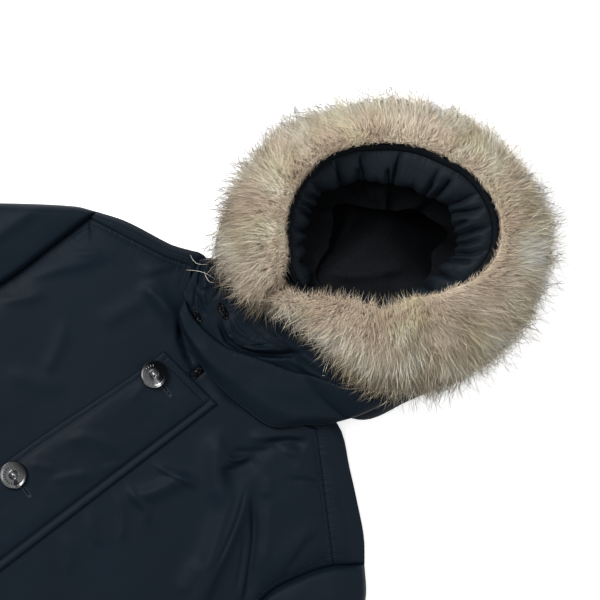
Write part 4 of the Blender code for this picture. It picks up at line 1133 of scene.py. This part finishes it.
THROAT_FOLDS = [
    # height, width on the right and on the left, path
    (5.2, 14, 15, (-60, 64), (-46, 62), (-28, 62), (-12, 72), (6, 88), (18, 104)),
    (
        -12.0, 2.8, 2.4,
        (-58, 62), (-50, 56.5), (-33, 52.5), (-20, 55.5), (-9, 62), (3.5, 74.4), (14, 88), (22, 101), (28, 110),
    ),
    (3.6, 1.3, 2.6, (-52, 61), (-34, 56), (-20, 59), (-10, 66), (0, 78), (8, 90)),
    (1.7, 1.2, 2.0, (-50, 64), (-38, 61), (-24, 63), (-14, 71), (-6, 82)),
    (1.4, 1.2, 2.0, (-50, 69), (-38, 67), (-26, 68), (-16, 74)),
    (-3.0, 1.1, 1.1, (-52, 63), (-35, 57.5), (-21, 60), (-11, 68), (-4, 80), (0, 88)),
    (-2.6, 1.0, 1.0, (-50, 67), (-43, 65), (-30, 63), (-17, 68), (-9, 78)),
    (2.8, 3.0, 5.0, (-46, 44), (-28, 48), (-12, 58), (4, 74), (14, 92)),
    (1.4, 2.0, 3.0, (-16, 86), (6, 97), (34, 104), (60, 112)),
    (1.3, 2.0, 3.0, (10, 84), (30, 92), (54, 102), (80, 116)),
    (-1.6, 1.2, 1.2, (-74, 78), (-62, 84), (-46, 91), (-30, 98)),
    (-2.8, 1.2, 1.4, (-113, 84), (-108, 79), (-102, 72), (-92, 62), (-86, 58)),
    (2.2, 2.0, 3.0, (-108, 88), (-97, 76), (-87, 66), (-80, 62)),
    (-2.4, 1.2, 1.4, (-96, 60), (-88, 55), (-82, 49), (-74, 42)),
    (-2.4, 1.2, 1.4, (-90, 59), (-82, 54), (-74, 51), (-62, 50)),
    (2.0, 1.4, 2.4, (-86, 62), (-78, 58), (-71, 57)),
    (1.6, 1.0, 1.0, (-92, 60), (-88, 66), (-84, 77)),
    (-2.0, 1.2, 1.2, (-80, 84), (-75, 74), (-73, 64)),
    (1.6, 1.4, 2.2, (-72, 86), (-68, 78), (-66, 74)),
]  # fmt: skip
COLLAR_FOLDS = [
    # height, width on the right and on the left, path
    (1.6, 8, 7, (-60, 30), (-20, 30), (20, 42)),
    (1.0, 9, 9, (10, 44), (40, 64), (70, 92)),
]


def upper_share(angle, radius):
    """The share of the shell's upper face, between its widest and its narrow part, at a radius."""
    low, high = np.full_like(radius, WIDEST_SHARE), np.full_like(radius, NARROW_SHARE)
    for _ in range(22):
        middle = (low + high) / 2
        beyond = hood_face(angle, middle, np.zeros_like(angle))[:, 0] > radius
        low, high = np.where(beyond, middle, low), np.where(beyond, high, middle)
    return (low + high) / 2


def round_middle(x, y):
    """Directions in degrees and distances from the hood's middle."""
    away_x, away_y = x - HOOD_MIDDLE[0], y - HOOD_MIDDLE[1]
    return np.degrees(np.arctan2(away_y, away_x)), np.hypot(away_x, away_y)


def shell_height(x, y):
    angle, away = round_middle(x, y)
    height = hood_face(angle, upper_share(angle, away), np.zeros_like(angle))[:, 1]
    return np.where(away > section(SHELL, angle) + 1.5, 0.0, height)


def neck_height(x, y):
    """Height of the throat piece's underside: it rises from the neck seam to the fur, clear of the shell."""
    angle, away = round_middle(x, y)
    slope = mix(THROAT_HIGH, THROAT_LOW, ease((away - section(FUR_REACH, angle)) / 70.0))
    return np.maximum(slope, shell_height(x, y) + 1.6)


def throat_top(x, y):
    return neck_height(x, y) + THROAT_THICK + folds_at(THROAT_FOLDS, x, y) + 0.5 * crumple(x, y, 9.0, 1.2)


def throat_place(u, v, skin):
    x, y = THROAT(u, v).T
    edge = swell(np.minimum(v * THROAT_WIDTH, np.minimum(u, 1 - u) * THROAT_LENGTH), 4.0)
    over = neck_height(x, y) + mix(2.0, np.maximum(throat_top(x, y) - neck_height(x, y), 0.6), edge)
    return np.stack([x, y, mix(neck_height(x, y), over, skin)], -1)


throat = panel(
    "hood_throat_cloth", spaced((0.62, 1 / 170), (0.38, 1 / 90)), spaced((1.0, 1 / 46)), throat_place, navy,
    "navy_cloth", "hood_throat",
)  # fmt: skip
throat_rows = [
    [(-66, 76), (-56, 84), (-46, 91), (-28, 99), (-10, 106), (10, 109), (30, 114)],
    [(-64, 79), (-53, 74.5), (-41, 71.3), (-27, 71.8), (-14, 74.7), (1, 83), (17, 94)],
    [(-33, 86.4), (-19, 87.6), (-5, 89.6), (11, 94.7)],
]
draw_in(throat, throat_rows, 5.0, 0.5)


def collar_place(u, v, skin):
    x, y = COLLAR(u, v).T
    on_front = FRONT_TOP + COLLAR_GAP + 0.9 * crumple(x, y, 62.0, 0.4)
    over_throat = np.maximum(on_front, neck_height(x, y) + THROAT_THICK + COLLAR_LIFT)
    floor = mix(on_front, over_throat, ease(v * 3.0))
    edge = np.minimum(np.minimum(v, 1 - v) * COLLAR_WIDTH, np.minimum(u, 1 - u) * COLLAR_LENGTH + 2.0)
    hem = np.minimum(v * COLLAR_WIDTH, np.minimum(u, 1 - u) * COLLAR_LENGTH)
    full = swell(edge, 16.0)
    thick = mix(COLLAR_EDGE_THICK, COLLAR_THICK, full) * mix(0.5, 1.0, swell(hem, 1.6)) + full * (
        folds_at(COLLAR_FOLDS, x, y) + 0.5 * crumple(x, y, 26.0, 3.6) + 0.2 * crumple(x, y, 9.0, 2.6)
    )
    thick = thick - 0.7 * hump(hem, 2.6, 0.9) + 0.15 * crumple(x, y, 4.0, 6.6) * np.exp(-hem / 4)
    return np.stack([x, y, floor + skin * np.maximum(thick, 0.8)], -1)


collar = panel(
    "collar_cloth", spaced((1.0, 1 / 120)), spaced((0.1, 0.012), (0.9, 0.028)), collar_place, navy, "navy_cloth",
    "collar",
)  # fmt: skip
draw_in(collar, [COLLAR(STEPS, 0 * STEPS + 0.03), COLLAR(STEPS, 0 * STEPS + 0.97)], 5.0, 0.5)

GRIP_LIFT, GRIP_THICK = 0.4, 1.2
GRIP_PADS = [
    # x, y, half length, half width, direction in degrees, sides
    (-57.0, 66.0, 9.5, 4.2, 169.0, 24),
    (-69.0, 42.5, 8.0, 3.2, 166.0, 24),
    (-24.5, 8.0, 6.2, 3.5, 93.0, 4),
]
hooks, hooks_shader = finish("black_hook_and_loop", (0.0015, 0.0015, 0.002), 0.4, Specular_IOR_Level=0.04)
hook_grain = add_node(hooks, "ShaderNodeTexVoronoi", Vector=object_place(hooks), Scale=900.0)
join(hooks, bumped(hooks, hook_grain.outputs["Distance"], 1.0, 0.8), hooks_shader.inputs["Normal"])
# Painted glints: pale specks in the pile's colour stand in for light caught by its hooks.
loops = add_node(hooks, "ShaderNodeTexNoise", Vector=object_place(hooks), Scale=700.0, Detail=1.0)
painted_glint_specks = ranged(hooks, loops.outputs["Fac"], 0.60, 0.68, 0.0, 1.0)
painted_glints = blend(hooks, painted_glint_specks, (0.0015, 0.0016, 0.002), (0.06, 0.065, 0.07))
join(hooks, painted_glints, hooks_shader.inputs["Base Color"])
for number, (x, y, length, width, direction, sides) in enumerate(GRIP_PADS, start=1):
    bm = bmesh.new()
    bmesh.ops.create_cone(bm, cap_ends=True, segments=sides, radius1=1.0, radius2=0.94, depth=1.0)
    if sides == 4:
        bmesh.ops.rotate(bm, verts=bm.verts, cent=(0, 0, 0), matrix=Matrix.Rotation(math.radians(45), 3, "Z"))
        bmesh.ops.scale(bm, verts=bm.verts, vec=(math.sqrt(2), math.sqrt(2), 1))
    bmesh.ops.scale(bm, verts=bm.verts, vec=(length, width, 1))
    bmesh.ops.rotate(bm, verts=bm.verts, cent=(0, 0, 0), matrix=Matrix.Rotation(math.radians(direction), 3, "Z"))
    places = np.array([vert.co for vert in bm.verts]) + (x, y, 0)
    top = front_top(*places.T[:2]) if sides == 4 else throat_top(*places.T[:2])
    for vert, place, floor in zip(bm.verts, places.tolist(), top.tolist()):
        vert.co = Vector((place[0], place[1], floor + GRIP_LIFT + (place[2] + 0.5) * GRIP_THICK)) * MM
    bmesh.ops.recalc_face_normals(bm, faces=bm.faces)
    add_piece(f"grip_pad_{number}_pile", bm, hooks, "hook_and_loop", f"grip_pad_{number}")


# ------------------------------------------------------------------ fur
# A strip of long pale fur sewn round the hood's edge and combed outwards: dense short hair at
# the binding, longer hair over the roll, and dark tipped guard hairs that stand beyond it.

FUR_GAP, FUR_DOME, FUR_CEILING = 2.4, 30.0, 153.0
FUR_SEED = 11
TUFT_HAIRS = 18
HAIR_LENGTHS = (0.7, 1.15)  # of each kind's length
HAIR_SCATTER = math.radians(25)
# How far the trim sinks where its two ends meet, how much painted shade darkens it there, and over how many degrees.
CHIN_DIP, CHIN_DIP_WIDE = 0.62, 3.2
CHIN_PAINTED_SHADE, CHIN_PAINTED_SHADE_WIDE = 0.45, 4.0
# Direction and distance: how far outside the rim the fur starts, and how far beyond its reach it stands.
FUR_STARTS = [(-180, 2.5), (-115, 2.5), (-104, 12), (-92, 14), (-80, 6), (-66, 2.5), (-40, 6), (-25, 0), (-12, -6)]
FUR_STARTS += [(12, -6), (26, 0), (38, 2.5), (180, 2.5)]
FUR_TRIMS = [(-180, -5), (-150, -1), (-120, -9), (-105, -13), (-90, -15), (-70, -10), (-58, -5), (-46, 0), (-30, -2)]
FUR_TRIMS += [(0, -6), (30, -8), (60, -5), (90, -8), (120, -12), (150, -9), (180, -5)]


def round_table(table, angle):
    """A value that changes round the hood, from a table of directions in degrees and values."""
    return np.interp(wrapped(angle), *np.array(table, float).T)


def from_chin(angle):
    """How many degrees a direction is from the place where the trim's ends meet."""
    return np.abs(wrapped(angle - CHIN))


def fur_dome(angle, v, shrink=0.0):
    """The fur's outer face between its inner edge (0) and its outer edge (1), or a face that far inside it."""
    reach, rim = section(FUR_REACH, angle), section(RIM, angle)
    seat = upper_share(angle, np.minimum(reach - 12.0, section(SHELL, angle) - 9.0))
    foot = hood_face(angle, seat, np.full_like(angle, -FUR_GAP))[:, 1]
    dome = (FUR_DOME - shrink) * np.sin(math.pi * mix(0.05, 0.97, v)) ** 0.7
    dome = dome * (1 - CHIN_DIP * hump(from_chin(angle), 0, CHIN_DIP_WIDE))
    across = 0.4 * ease(v) + 0.6 * v
    return round_hood(
        angle,
        mix(rim + round_table(FUR_STARTS, angle), reach - shrink, across),
        mix(rim_height(angle) + 4.0 - shrink * 0.3, foot + 9.0, v) + dome,
    )


def fur_core_place(u, v, skin):
    angle = mix(EDGE_START, EDGE_END, u)
    reach, rim = section(FUR_REACH, angle), section(RIM, angle)
    seat = upper_share(angle, np.minimum(reach - 12.0, section(SHELL, angle) - 9.0))
    under = hood_face(angle, mix(np.full_like(v, 0.985), seat, v), np.full_like(angle, -FUR_GAP))
    start = rim + round_table(FUR_STARTS, angle)
    radius = np.where(v < 0.01, start, np.maximum(under[:, 0], start))
    below = round_hood(angle, radius, under[:, 1])
    return mix(below, fur_dome(angle, v, 7.0), skin[:, None])


fur, fur_shader = finish("grey_beige_fur", (0.55, 0.47, 0.38), 0.75, Specular_IOR_Level=0.15)
hair_tone = add_node(fur, "ShaderNodeAttribute", set_attribute_name="hair_tone")
join(fur, hair_tone.outputs["Color"], fur_shader.inputs["Base Color"])
lie = add_node(fur, "ShaderNodeAttribute", set_attribute_name="lie")  # fur lights as one soft face
hair_side = add_node(fur, "ShaderNodeNewGeometry")
soft_side = add_node(
    fur, "ShaderNodeMix", set_data_type="VECTOR", _0=0.72, _4=hair_side.outputs["Normal"], _5=lie.outputs["Vector"]
)
even = add_node(fur, "ShaderNodeVectorMath", set_operation="NORMALIZE", _0=soft_side.outputs[1])
join(fur, even.outputs["Vector"], fur_shader.inputs["Normal"])
fur_base = finish("fur_ground", (0.60, 0.50, 0.37), 0.95, Specular_IOR_Level=0.05)[0]
panel("fur_ground", spaced((1.0, 1 / 180)), spaced((1.0, 1 / 24)), fur_core_place, fur_base, "fur", "fur_trim")


def hairs(name, paths, thickness, tones, lies):
    """Tapered hairs. Each row of paths has the hair's places in mm from root to tip, and of tones their colours."""
    count, rings = paths.shape[:2]
    bm = bmesh.new()
    bmesh.ops.create_uvsphere(bm, u_segments=3, v_segments=rings - 1, radius=1.0)
    hair, corners = copies(bm, count)
    mesh = add_mesh(name, bm)
    ring = np.rint(np.arccos(np.clip(corners[:, 2], -1, 1)) / math.pi * (rings - 1)).astype(int)
    around = np.arctan2(corners[:, 1], corners[:, 0])[:, None]
    heading = unit(np.gradient(paths, axis=1))
    side = unit(np.cross(heading, (0.31, 0.17, 0.93)))  # a direction that no hair has
    other = np.cross(side, heading)
    share = np.linspace(0, 1, rings)
    radius = (thickness[hair] * (4 * share * (1 - share) ** 0.7)[ring])[:, None]
    turned = np.cos(around) * side[hair, ring] + np.sin(around) * other[hair, ring]
    mesh.vertices.foreach_set("co", ((paths[hair, ring] + radius * turned) * MM).astype(np.float32).ravel())
    layer = mesh.color_attributes.new("hair_tone", "FLOAT_COLOR", "POINT")
    colours = np.concatenate([tones[hair, ring], np.ones((len(hair), 1))], -1)
    layer.data.foreach_set("color", colours.astype(np.float32).ravel())
    layer = mesh.attributes.new("lie", "FLOAT_VECTOR", "POINT")
    layer.data.foreach_set("vector", lies[hair].astype(np.float32).ravel())
    mesh.update()
    return add_piece(name, mesh, fur, "fur", "fur_trim")


def noise_at(points, size, seed):
    return crumple(points[:, 0], points[:, 1], size, seed)


def gathered(tip, angle, v, clump, rng):
    """Pulls the tips of hairs that are rooted close together into tufts."""
    count = len(angle)
    tufts = max(8, count // TUFT_HAIRS)
    heads = rng.choice(count, tufts, replace=False)
    spread = np.stack([angle * 2.3, v * 70, 0 * v], -1)
    tree = KDTree(tufts)
    for i, place in enumerate(spread[heads].tolist()):
        tree.insert(place, i)
    tree.balance()
    head = heads[[tree.find(place)[1] for place in spread.tolist()]]
    pull = (clump * rng.uniform(0.3, 1.0, count))[:, None]
    return mix(tip, tip[head] + (tip - tip[head]) * 0.3, pull)


def hair_tones(angle, v, surface, t, dark, rng):
    """Each hair's colours from root to tip: pink inwards and yellow outwards, with partings and dark tips, and with
    painted light and shade.
    """
    count = len(angle)
    shade = np.clip(0.25 + 0.6 * v + 0.8 * noise_at(surface, 30.0, 1.7) + 0.22 * rng.normal(size=count), 0, 1)[:, None]
    outwards = ease((v - 0.2 + 0.9 * noise_at(surface, 26.0, 6.1) + 0.08 * rng.normal(size=count)) / 0.4)[:, None]
    # Partings: olive lines, partly the fur's own darker colour and partly painted shade where the hair parts.
    parting = ease(1.1 - 3.4 * np.abs(noise_at(surface, 30.0, 4.4)))[:, None] * 0.75
    body = mix(mix(PINK, PINK_PALE, shade), mix(mix(YELLOW, PALE, shade), OLIVE, parting), outwards)[:, None]
    body = body * np.clip(1 + 0.23 * rng.normal(size=(count, 1, 1)), 0.5, 1.45)
    # Painted light: hairs are painted darker at the ring's inner edge and lighter or darker round it, brightest towards
    # 88 degrees.
    painted_light = mix(0.84, 1.0 + 0.42 * np.cos(np.radians(angle - 88.0)), ease(v / 0.9))[:, None, None]
    # Painted shade darkens the hairs in the crease where the trim's two ends meet.
    chin_painted_shade = 1 - CHIN_PAINTED_SHADE * hump(from_chin(angle), 0, CHIN_PAINTED_SHADE_WIDE)[:, None, None]
    # Painted shade: each hair is painted darker towards its root, where the fur shades it.
    tone = mix(0.86 * body, body, ease(t / 0.5)) * painted_light * chin_painted_shade
    tip_share = dark * (0.6 + 0.8 * ease(0.5 - np.cos(np.radians(angle - 20)))) * ease((v - 0.45) / 0.3)
    tipped = (rng.uniform(size=count) < tip_share)[:, None, None]
    return np.clip(mix(tone, DARK_TIP, tipped * ease((t - 0.3) / 0.4)), 0.01, 0.95)


def comb(count, band, longest, rise, clump, sway, over, dark, inward, seed, rings, arch):
    """Hairs rooted over a band of the dome, combed outwards or inwards and gathered into tufts.

    Gives their paths, their colours, the direction each faces and the random numbers that follow.
    """
    rng = np.random.default_rng(seed)
    angle = rng.uniform(EDGE_START, EDGE_END, count)
    v = rng.uniform(*band, count)
    root, surface = fur_dome(angle, v, 6.0), fur_dome(angle, v)
    out = unit(fur_dome(angle, np.minimum(v + 0.02, 1.0)) - fur_dome(angle, np.maximum(v - 0.02, 0.0)))
    onward = unit(fur_dome(angle + 0.5, v) - fur_dome(angle - 0.5, v))
    up = np.cross(out, onward)
    up *= np.where(up[:, 2] < -0.3, -1, 1)[:, None]
    turn = np.radians(sway) * (1.5 * noise_at(surface, 42.0, 3.3) + 0.7 * noise_at(surface, 14.0, 8.8))
    turn = turn + HAIR_SCATTER * rng.normal(size=count)
    flow = out * np.cos(turn)[:, None] + onward * np.sin(turn)[:, None]
    if inward:
        flow = unit(-out * [1, 1, 0] + 0.7 * onward * rng.normal(size=count)[:, None])
    length = longest * rng.uniform(*HAIR_LENGTHS, count) * (1.0 if inward else mix(0.6, 1.0, ease(v / 0.5)))
    rise = np.clip(rise + 0.12 * rng.normal(size=count), 0.05, 0.8)
    tip = surface + length[:, None] * (flow * np.sqrt(1 - rise**2)[:, None] + up * rise[:, None])
    tip = gathered(tip, angle, v, clump, rng)
    _, away = round_middle(*tip[:, :2].T)
    reach = section(FUR_REACH, angle) + round_table(FUR_TRIMS, angle) + mix(*over, rng.uniform(0, 1, count) ** 1.8)
    held = np.minimum(1.0, reach / away)
    if inward:
        lower = ease((60 - np.abs(angle + 60)) / 30)  # the lower edge, where hair stands over the opening
        start = section(RIM, angle) + round_table(FUR_STARTS, angle)
        reach = start + rng.uniform(-4.0, 5.0, count) - 18.0 * rng.uniform(0.0, 1.0, count) ** 7 * mix(0.15, 1.0, lower)
        held = reach / away
    tip[:, :2] = HOOD_MIDDLE + (tip[:, :2] - HOOD_MIDDLE) * held[:, None]
    knee = mix(surface, tip, 0.35) + up * (arch * length / longest)[:, None]
    t = np.linspace(0, 1, rings)[None, :, None]
    paths = (1 - t) ** 2 * root[:, None] + 2 * t * (1 - t) * knee[:, None] + t * t * tip[:, None]
    paths[..., 2] = np.clip(paths[..., 2], 2.0, FUR_CEILING)
    tones = hair_tones(angle, v, surface, t, dark, rng)
    return paths, tones, unit(up * [0.16, 0.16, 0.3] + [0, 0, 0.8]), rng


PINK, PINK_PALE, YELLOW, PALE, OLIVE, DARK_TIP = np.array([
    (0.64, 0.505, 0.375), (0.92, 0.78, 0.61), (0.78, 0.68, 0.45), (1.0, 0.94, 0.80), (0.38, 0.29, 0.16),
    (0.07, 0.048, 0.035),
])  # fmt: skip
COATS = [
    # name, count, share of the way outwards, length, lift, tufting, sway, reach beyond the edge, dark tips,
    # inwards, rings, arch, thickness
    ("fur_short_hair", 17000, (0.0, 1.0), 14.0, 0.34, 0.45, 44, (-8, 1), 0.0, False, 3, 3.0, 0.22),
    ("fur_middle_hair", 26000, (0.0, 0.92), 27.0, 0.30, 0.5, 46, (-9, 4), 0.02, False, 3, 5.0, 0.16),
    ("fur_outer_hair", 26000, (0.3, 0.97), 34.0, 0.25, 0.5, 38, (-8, 13), 0.08, False, 3, 5.0, 0.13),
    ("fur_inner_hair", 7000, (0.0, 0.20), 12.0, 0.5, 0.4, 20, (0, 1), 0.0, True, 3, 3.0, 0.15),
    ("fur_guard_hair", 5600, (0.35, 0.99), 40.0, 0.40, 0.3, 30, (2, 30), 0.75, False, 4, 7.0, 0.145),
]
for number, (name, count, *style, inward, rings, arch, thick) in enumerate(COATS):
    paths, tones, lies, rng = comb(count, *style, inward, FUR_SEED + number, rings, arch)
    hairs(name, paths, thick * rng.uniform(0.7, 1.25, count), tones, lies)
STRAY_HEIGHTS, STRAY_THICK = (56, 50), 0.16
STRAYS = [
    # places in the plan, from root to tip
    ((-102, 84), (-110, 75), (-116, 74), (-122, 75)),
    ((-86, 80), (-97, 76), (-105, 70), (-113, 61)),
    ((-50, 124), (-54, 132), (-55, 139), (-57, 146)),
    ((-84, 78), (-88, 74), (-94, 74), (-100, 76)),
]
stray_steps, stray_heights = np.linspace(0, 1, 8), np.linspace(*STRAY_HEIGHTS, 8)
stray_paths = np.array([np.column_stack([curve(row)(stray_steps), stray_heights]) for row in STRAYS])
stray_tones = np.broadcast_to(PALE, stray_paths.shape)
stray_lies = np.tile((0.0, 0.0, 1.0), (len(STRAYS), 1))
hairs("fur_stray_hair", stray_paths, np.full(len(STRAYS), STRAY_THICK), stray_tones, stray_lies)


# ------------------------------------------------------------------ stitching
# Rows of navy lockstitch beside the seams and round the folded edges. Each stitch lies in the
# groove that its row draws into the padding.

STITCH_PITCH, STITCH_LENGTH, STITCH_WIDE, STITCH_HIGH = 3.1, 2.2, 0.30, 0.26
STITCH_LIFT = 0.1
HOLE_START, HOLE_END, HOLE_HALF = -3.0, 26.0, 1.5  # the buttonhole, from the button's middle
SATIN_PITCH, SATIN_WIDE = 0.75, 0.42
LIP_LONG, BAR_LONG = 2.2, 6.0  # their stitches
SLOT_HALF, SLOT_DEEP = 0.6, 0.35


def beside(path, away):
    """A path moved to its left by that far."""
    path = np.asarray(path, float)
    run = unit(np.gradient(path, axis=0))
    return path + away * np.stack([-run[:, 1], run[:, 0]], -1)


def drop_on(piece, places):
    """The places on a piece's upper side under places in the plan, where there are any."""
    mesh = piece.data
    tree = BVHTree.FromPolygons([vert.co for vert in mesh.vertices], [face.vertices for face in mesh.polygons])
    found = []
    for x, y in places.tolist():
        hit, normal, _, _ = tree.ray_cast(Vector((x * MM, y * MM, 1.0)), Vector((0, 0, -1)))
        found.append((*(hit / MM), *normal) if hit else (np.nan,) * 6)
    return np.array(found)


def along_rows(rows, pitch):
    """Middles and headings of stitches along rows."""
    middles, headings = [], []
    for row in rows:
        row = np.asarray(row, float)
        marks = marks_along(row)
        at = np.arange(pitch, marks[-1] - pitch / 2, pitch)
        spots, ahead = (np.stack([np.interp(places, marks, axis) for axis in row.T], -1) for places in (at, at + 0.5))
        middles.append(spots)
        headings.append(ahead - spots)
    return np.concatenate(middles), np.concatenate(headings)


def sew(name, middles, headings, normals, length=STITCH_LENGTH, wide=STITCH_WIDE, high=STITCH_HIGH):
    """Stitches at places in space, each along its heading and flat on the cloth."""
    bm = bmesh.new()
    bmesh.ops.create_icosphere(bm, subdivisions=1, radius=1.0)
    stitch, corners = copies(bm, len(middles))
    heading = unit(headings)
    normal = unit(normals - (normals * heading).sum(1)[:, None] * heading)
    side = np.cross(normal, heading)
    points = middles[stitch] + corners[:, :1] * heading[stitch] * length / 2
    points = points + corners[:, 1:2] * side[stitch] * wide + corners[:, 2:] * normal[stitch] * high
    points = points - 0.12 * (corners[:, :1] ** 2) * normal[stitch]
    for vert, point in zip(bm.verts, points.tolist()):
        vert.co = Vector(point) * MM
    return add_piece(name, bm, thread, "navy_cloth")


def sew_down(name, piece, rows, **shape):
    """Rows of stitches in the plan, dropped on to a piece."""
    middles, headings = along_rows(rows, STITCH_PITCH)
    found = drop_on(piece, middles)
    on = ~np.isnan(found[:, 0])
    slope = -(headings * found[:, 3:5]).sum(1) / np.maximum(found[:, 5], 0.3)
    headings = np.column_stack([headings, slope])
    return sew(name, found[on, :3] + STITCH_LIFT * found[on, 3:], headings[on], found[on, 3:], **shape)


shoulder_right, shoulder_left = SHOULDER_RIGHT(STEPS), SHOULDER_LEFT(STEPS)
armhole_right, armhole_left = ARMHOLES
right_rows = [beside(armhole_right, -2.1), beside(armhole_right, -4.8), beside(shoulder_right, -3.0)[:27]]
sew_down("front_right_stitches", front_right, right_rows)
sew_down("front_left_stitches", front_left, [beside(armhole_left, 4.8), beside(shoulder_left, -3.0)[12:]])
sew_down("back_stitches", back, [beside(shoulder_right, 3.0)[:27], beside(shoulder_left, 3.0)[12:]])
inset, low_row, top_row = PLACKET_ROW / PLACKET_WIDTH, 0.011, 1 - PLACKET_ROW / PLACKET_LENGTH
row_up, row_across = np.linspace(low_row, top_row, 300), np.linspace(inset, 1 - inset, 40)
sewn_rows = [PLACKET(np.full_like(row_up, column), row_up) for column in (inset, 1 - inset)]
sewn_rows += [PLACKET(row_across, np.full_like(row_across, row)) for row in (top_row, low_row)]
sew_down("placket_stitches", placket, sewn_rows)
collar_rows = [COLLAR(np.linspace(0.015, 0.985, 160), np.full(160, COLLAR_ROW / COLLAR_WIDTH))]
collar_rows += [COLLAR(np.full(20, end), np.linspace(0.05, 0.9, 20)) for end in (0.013, 0.987)]
sew_down("collar_stitches", collar, collar_rows)
throat_rows.append([(-20, 27.5), (-26, 17), (-24, 14)])
sew_down("throat_stitches", throat, [curve(row)(STEPS) for row in throat_rows], wide=0.26)
around = np.linspace(0.002, 0.998, 900)
for name, share in (("facing_edge_stitches", 0.826), ("facing_rim_stitches", 0.945)):
    ring = facing_place(around, np.full_like(around, share), np.ones_like(around))
    middles, headings = along_rows([ring], STITCH_PITCH)
    inwards = np.array((*HOOD_MIDDLE, 100.0)) - middles
    inwards[:, 2] = np.abs(inwards[:, 2]) + 30.0
    inwards = unit(inwards)
    sew(name, middles + STITCH_LIFT * inwards, headings, inwards)

# Buttonholes: the satin stitches of both lips, the slot between them, which is a black sliver of painted shade, and a
# bar tack at the end.
for number, (x, y) in enumerate(BUTTON_PLACES, start=1):
    along = np.arange(HOLE_START, HOLE_END, SATIN_PITCH)
    upper_lip = np.stack([x + along, np.full_like(along, y + HOLE_HALF)], -1)
    lower_lip = upper_lip - (0, 2 * HOLE_HALF)
    bar = np.stack([x + HOLE_END + 0.5 * np.arange(5), np.full(5, y)], -1)
    middles = np.concatenate([upper_lip, lower_lip, bar])
    found = drop_on(placket, middles)
    headings = np.zeros_like(found[:, :3])
    headings[:, 1] = 1.0
    lips = len(upper_lip) * 2
    sew(f"buttonhole_{number}_lips", found[:lips, :3], headings[:lips], found[:lips, 3:], LIP_LONG, SATIN_WIDE, 0.5)
    sew(f"buttonhole_{number}_bar", found[lips:, :3], headings[lips:], found[lips:, 3:], BAR_LONG, SATIN_WIDE, 0.6)
    bm = bmesh.new()
    bmesh.ops.create_uvsphere(bm, u_segments=16, v_segments=8, radius=1.0)
    slot_length = HOLE_END - HOLE_START
    middle = found[len(upper_lip) // 2, 2]
    shaped = Matrix.Diagonal((slot_length / 2 * MM, SLOT_HALF * MM, SLOT_DEEP * MM, 1))
    bm.transform(Matrix.Translation(Vector((x + HOLE_START + slot_length / 2, y, middle)) * MM) @ shaped)
    add_piece(f"buttonhole_{number}_slot", bm, hooks, "navy_cloth")


# ------------------------------------------------------------------ eyelet
# A small dark metal ring in the lining, at the hood's deepest place.

EYELET_PLACE, EYELET_RADIUS, EYELET_WIRE = (-38.0, 176.0), 2.7, 0.75
lining_at = drop_on(bpy.data.objects["hood_lining_right_cloth"], np.array([EYELET_PLACE]))[0]
bm = bmesh.new()
bmesh.ops.create_circle(bm, segments=10, radius=EYELET_WIRE)
bmesh.ops.rotate(bm, verts=bm.verts, cent=(0, 0, 0), matrix=Matrix.Rotation(math.radians(90), 3, "X"))
bmesh.ops.translate(bm, verts=bm.verts, vec=(EYELET_RADIUS, 0, 0))
turn_round(bm, bm.verts[:] + bm.edges[:], 28)
bm.normal_update()
bmesh.ops.recalc_face_normals(bm, faces=bm.faces)
bm.transform(Matrix.Scale(MM, 4) @ Matrix.Translation((*EYELET_PLACE, lining_at[2] + 0.5)))
add_piece("lining_eyelet", bm, hooks, "hook_and_loop")
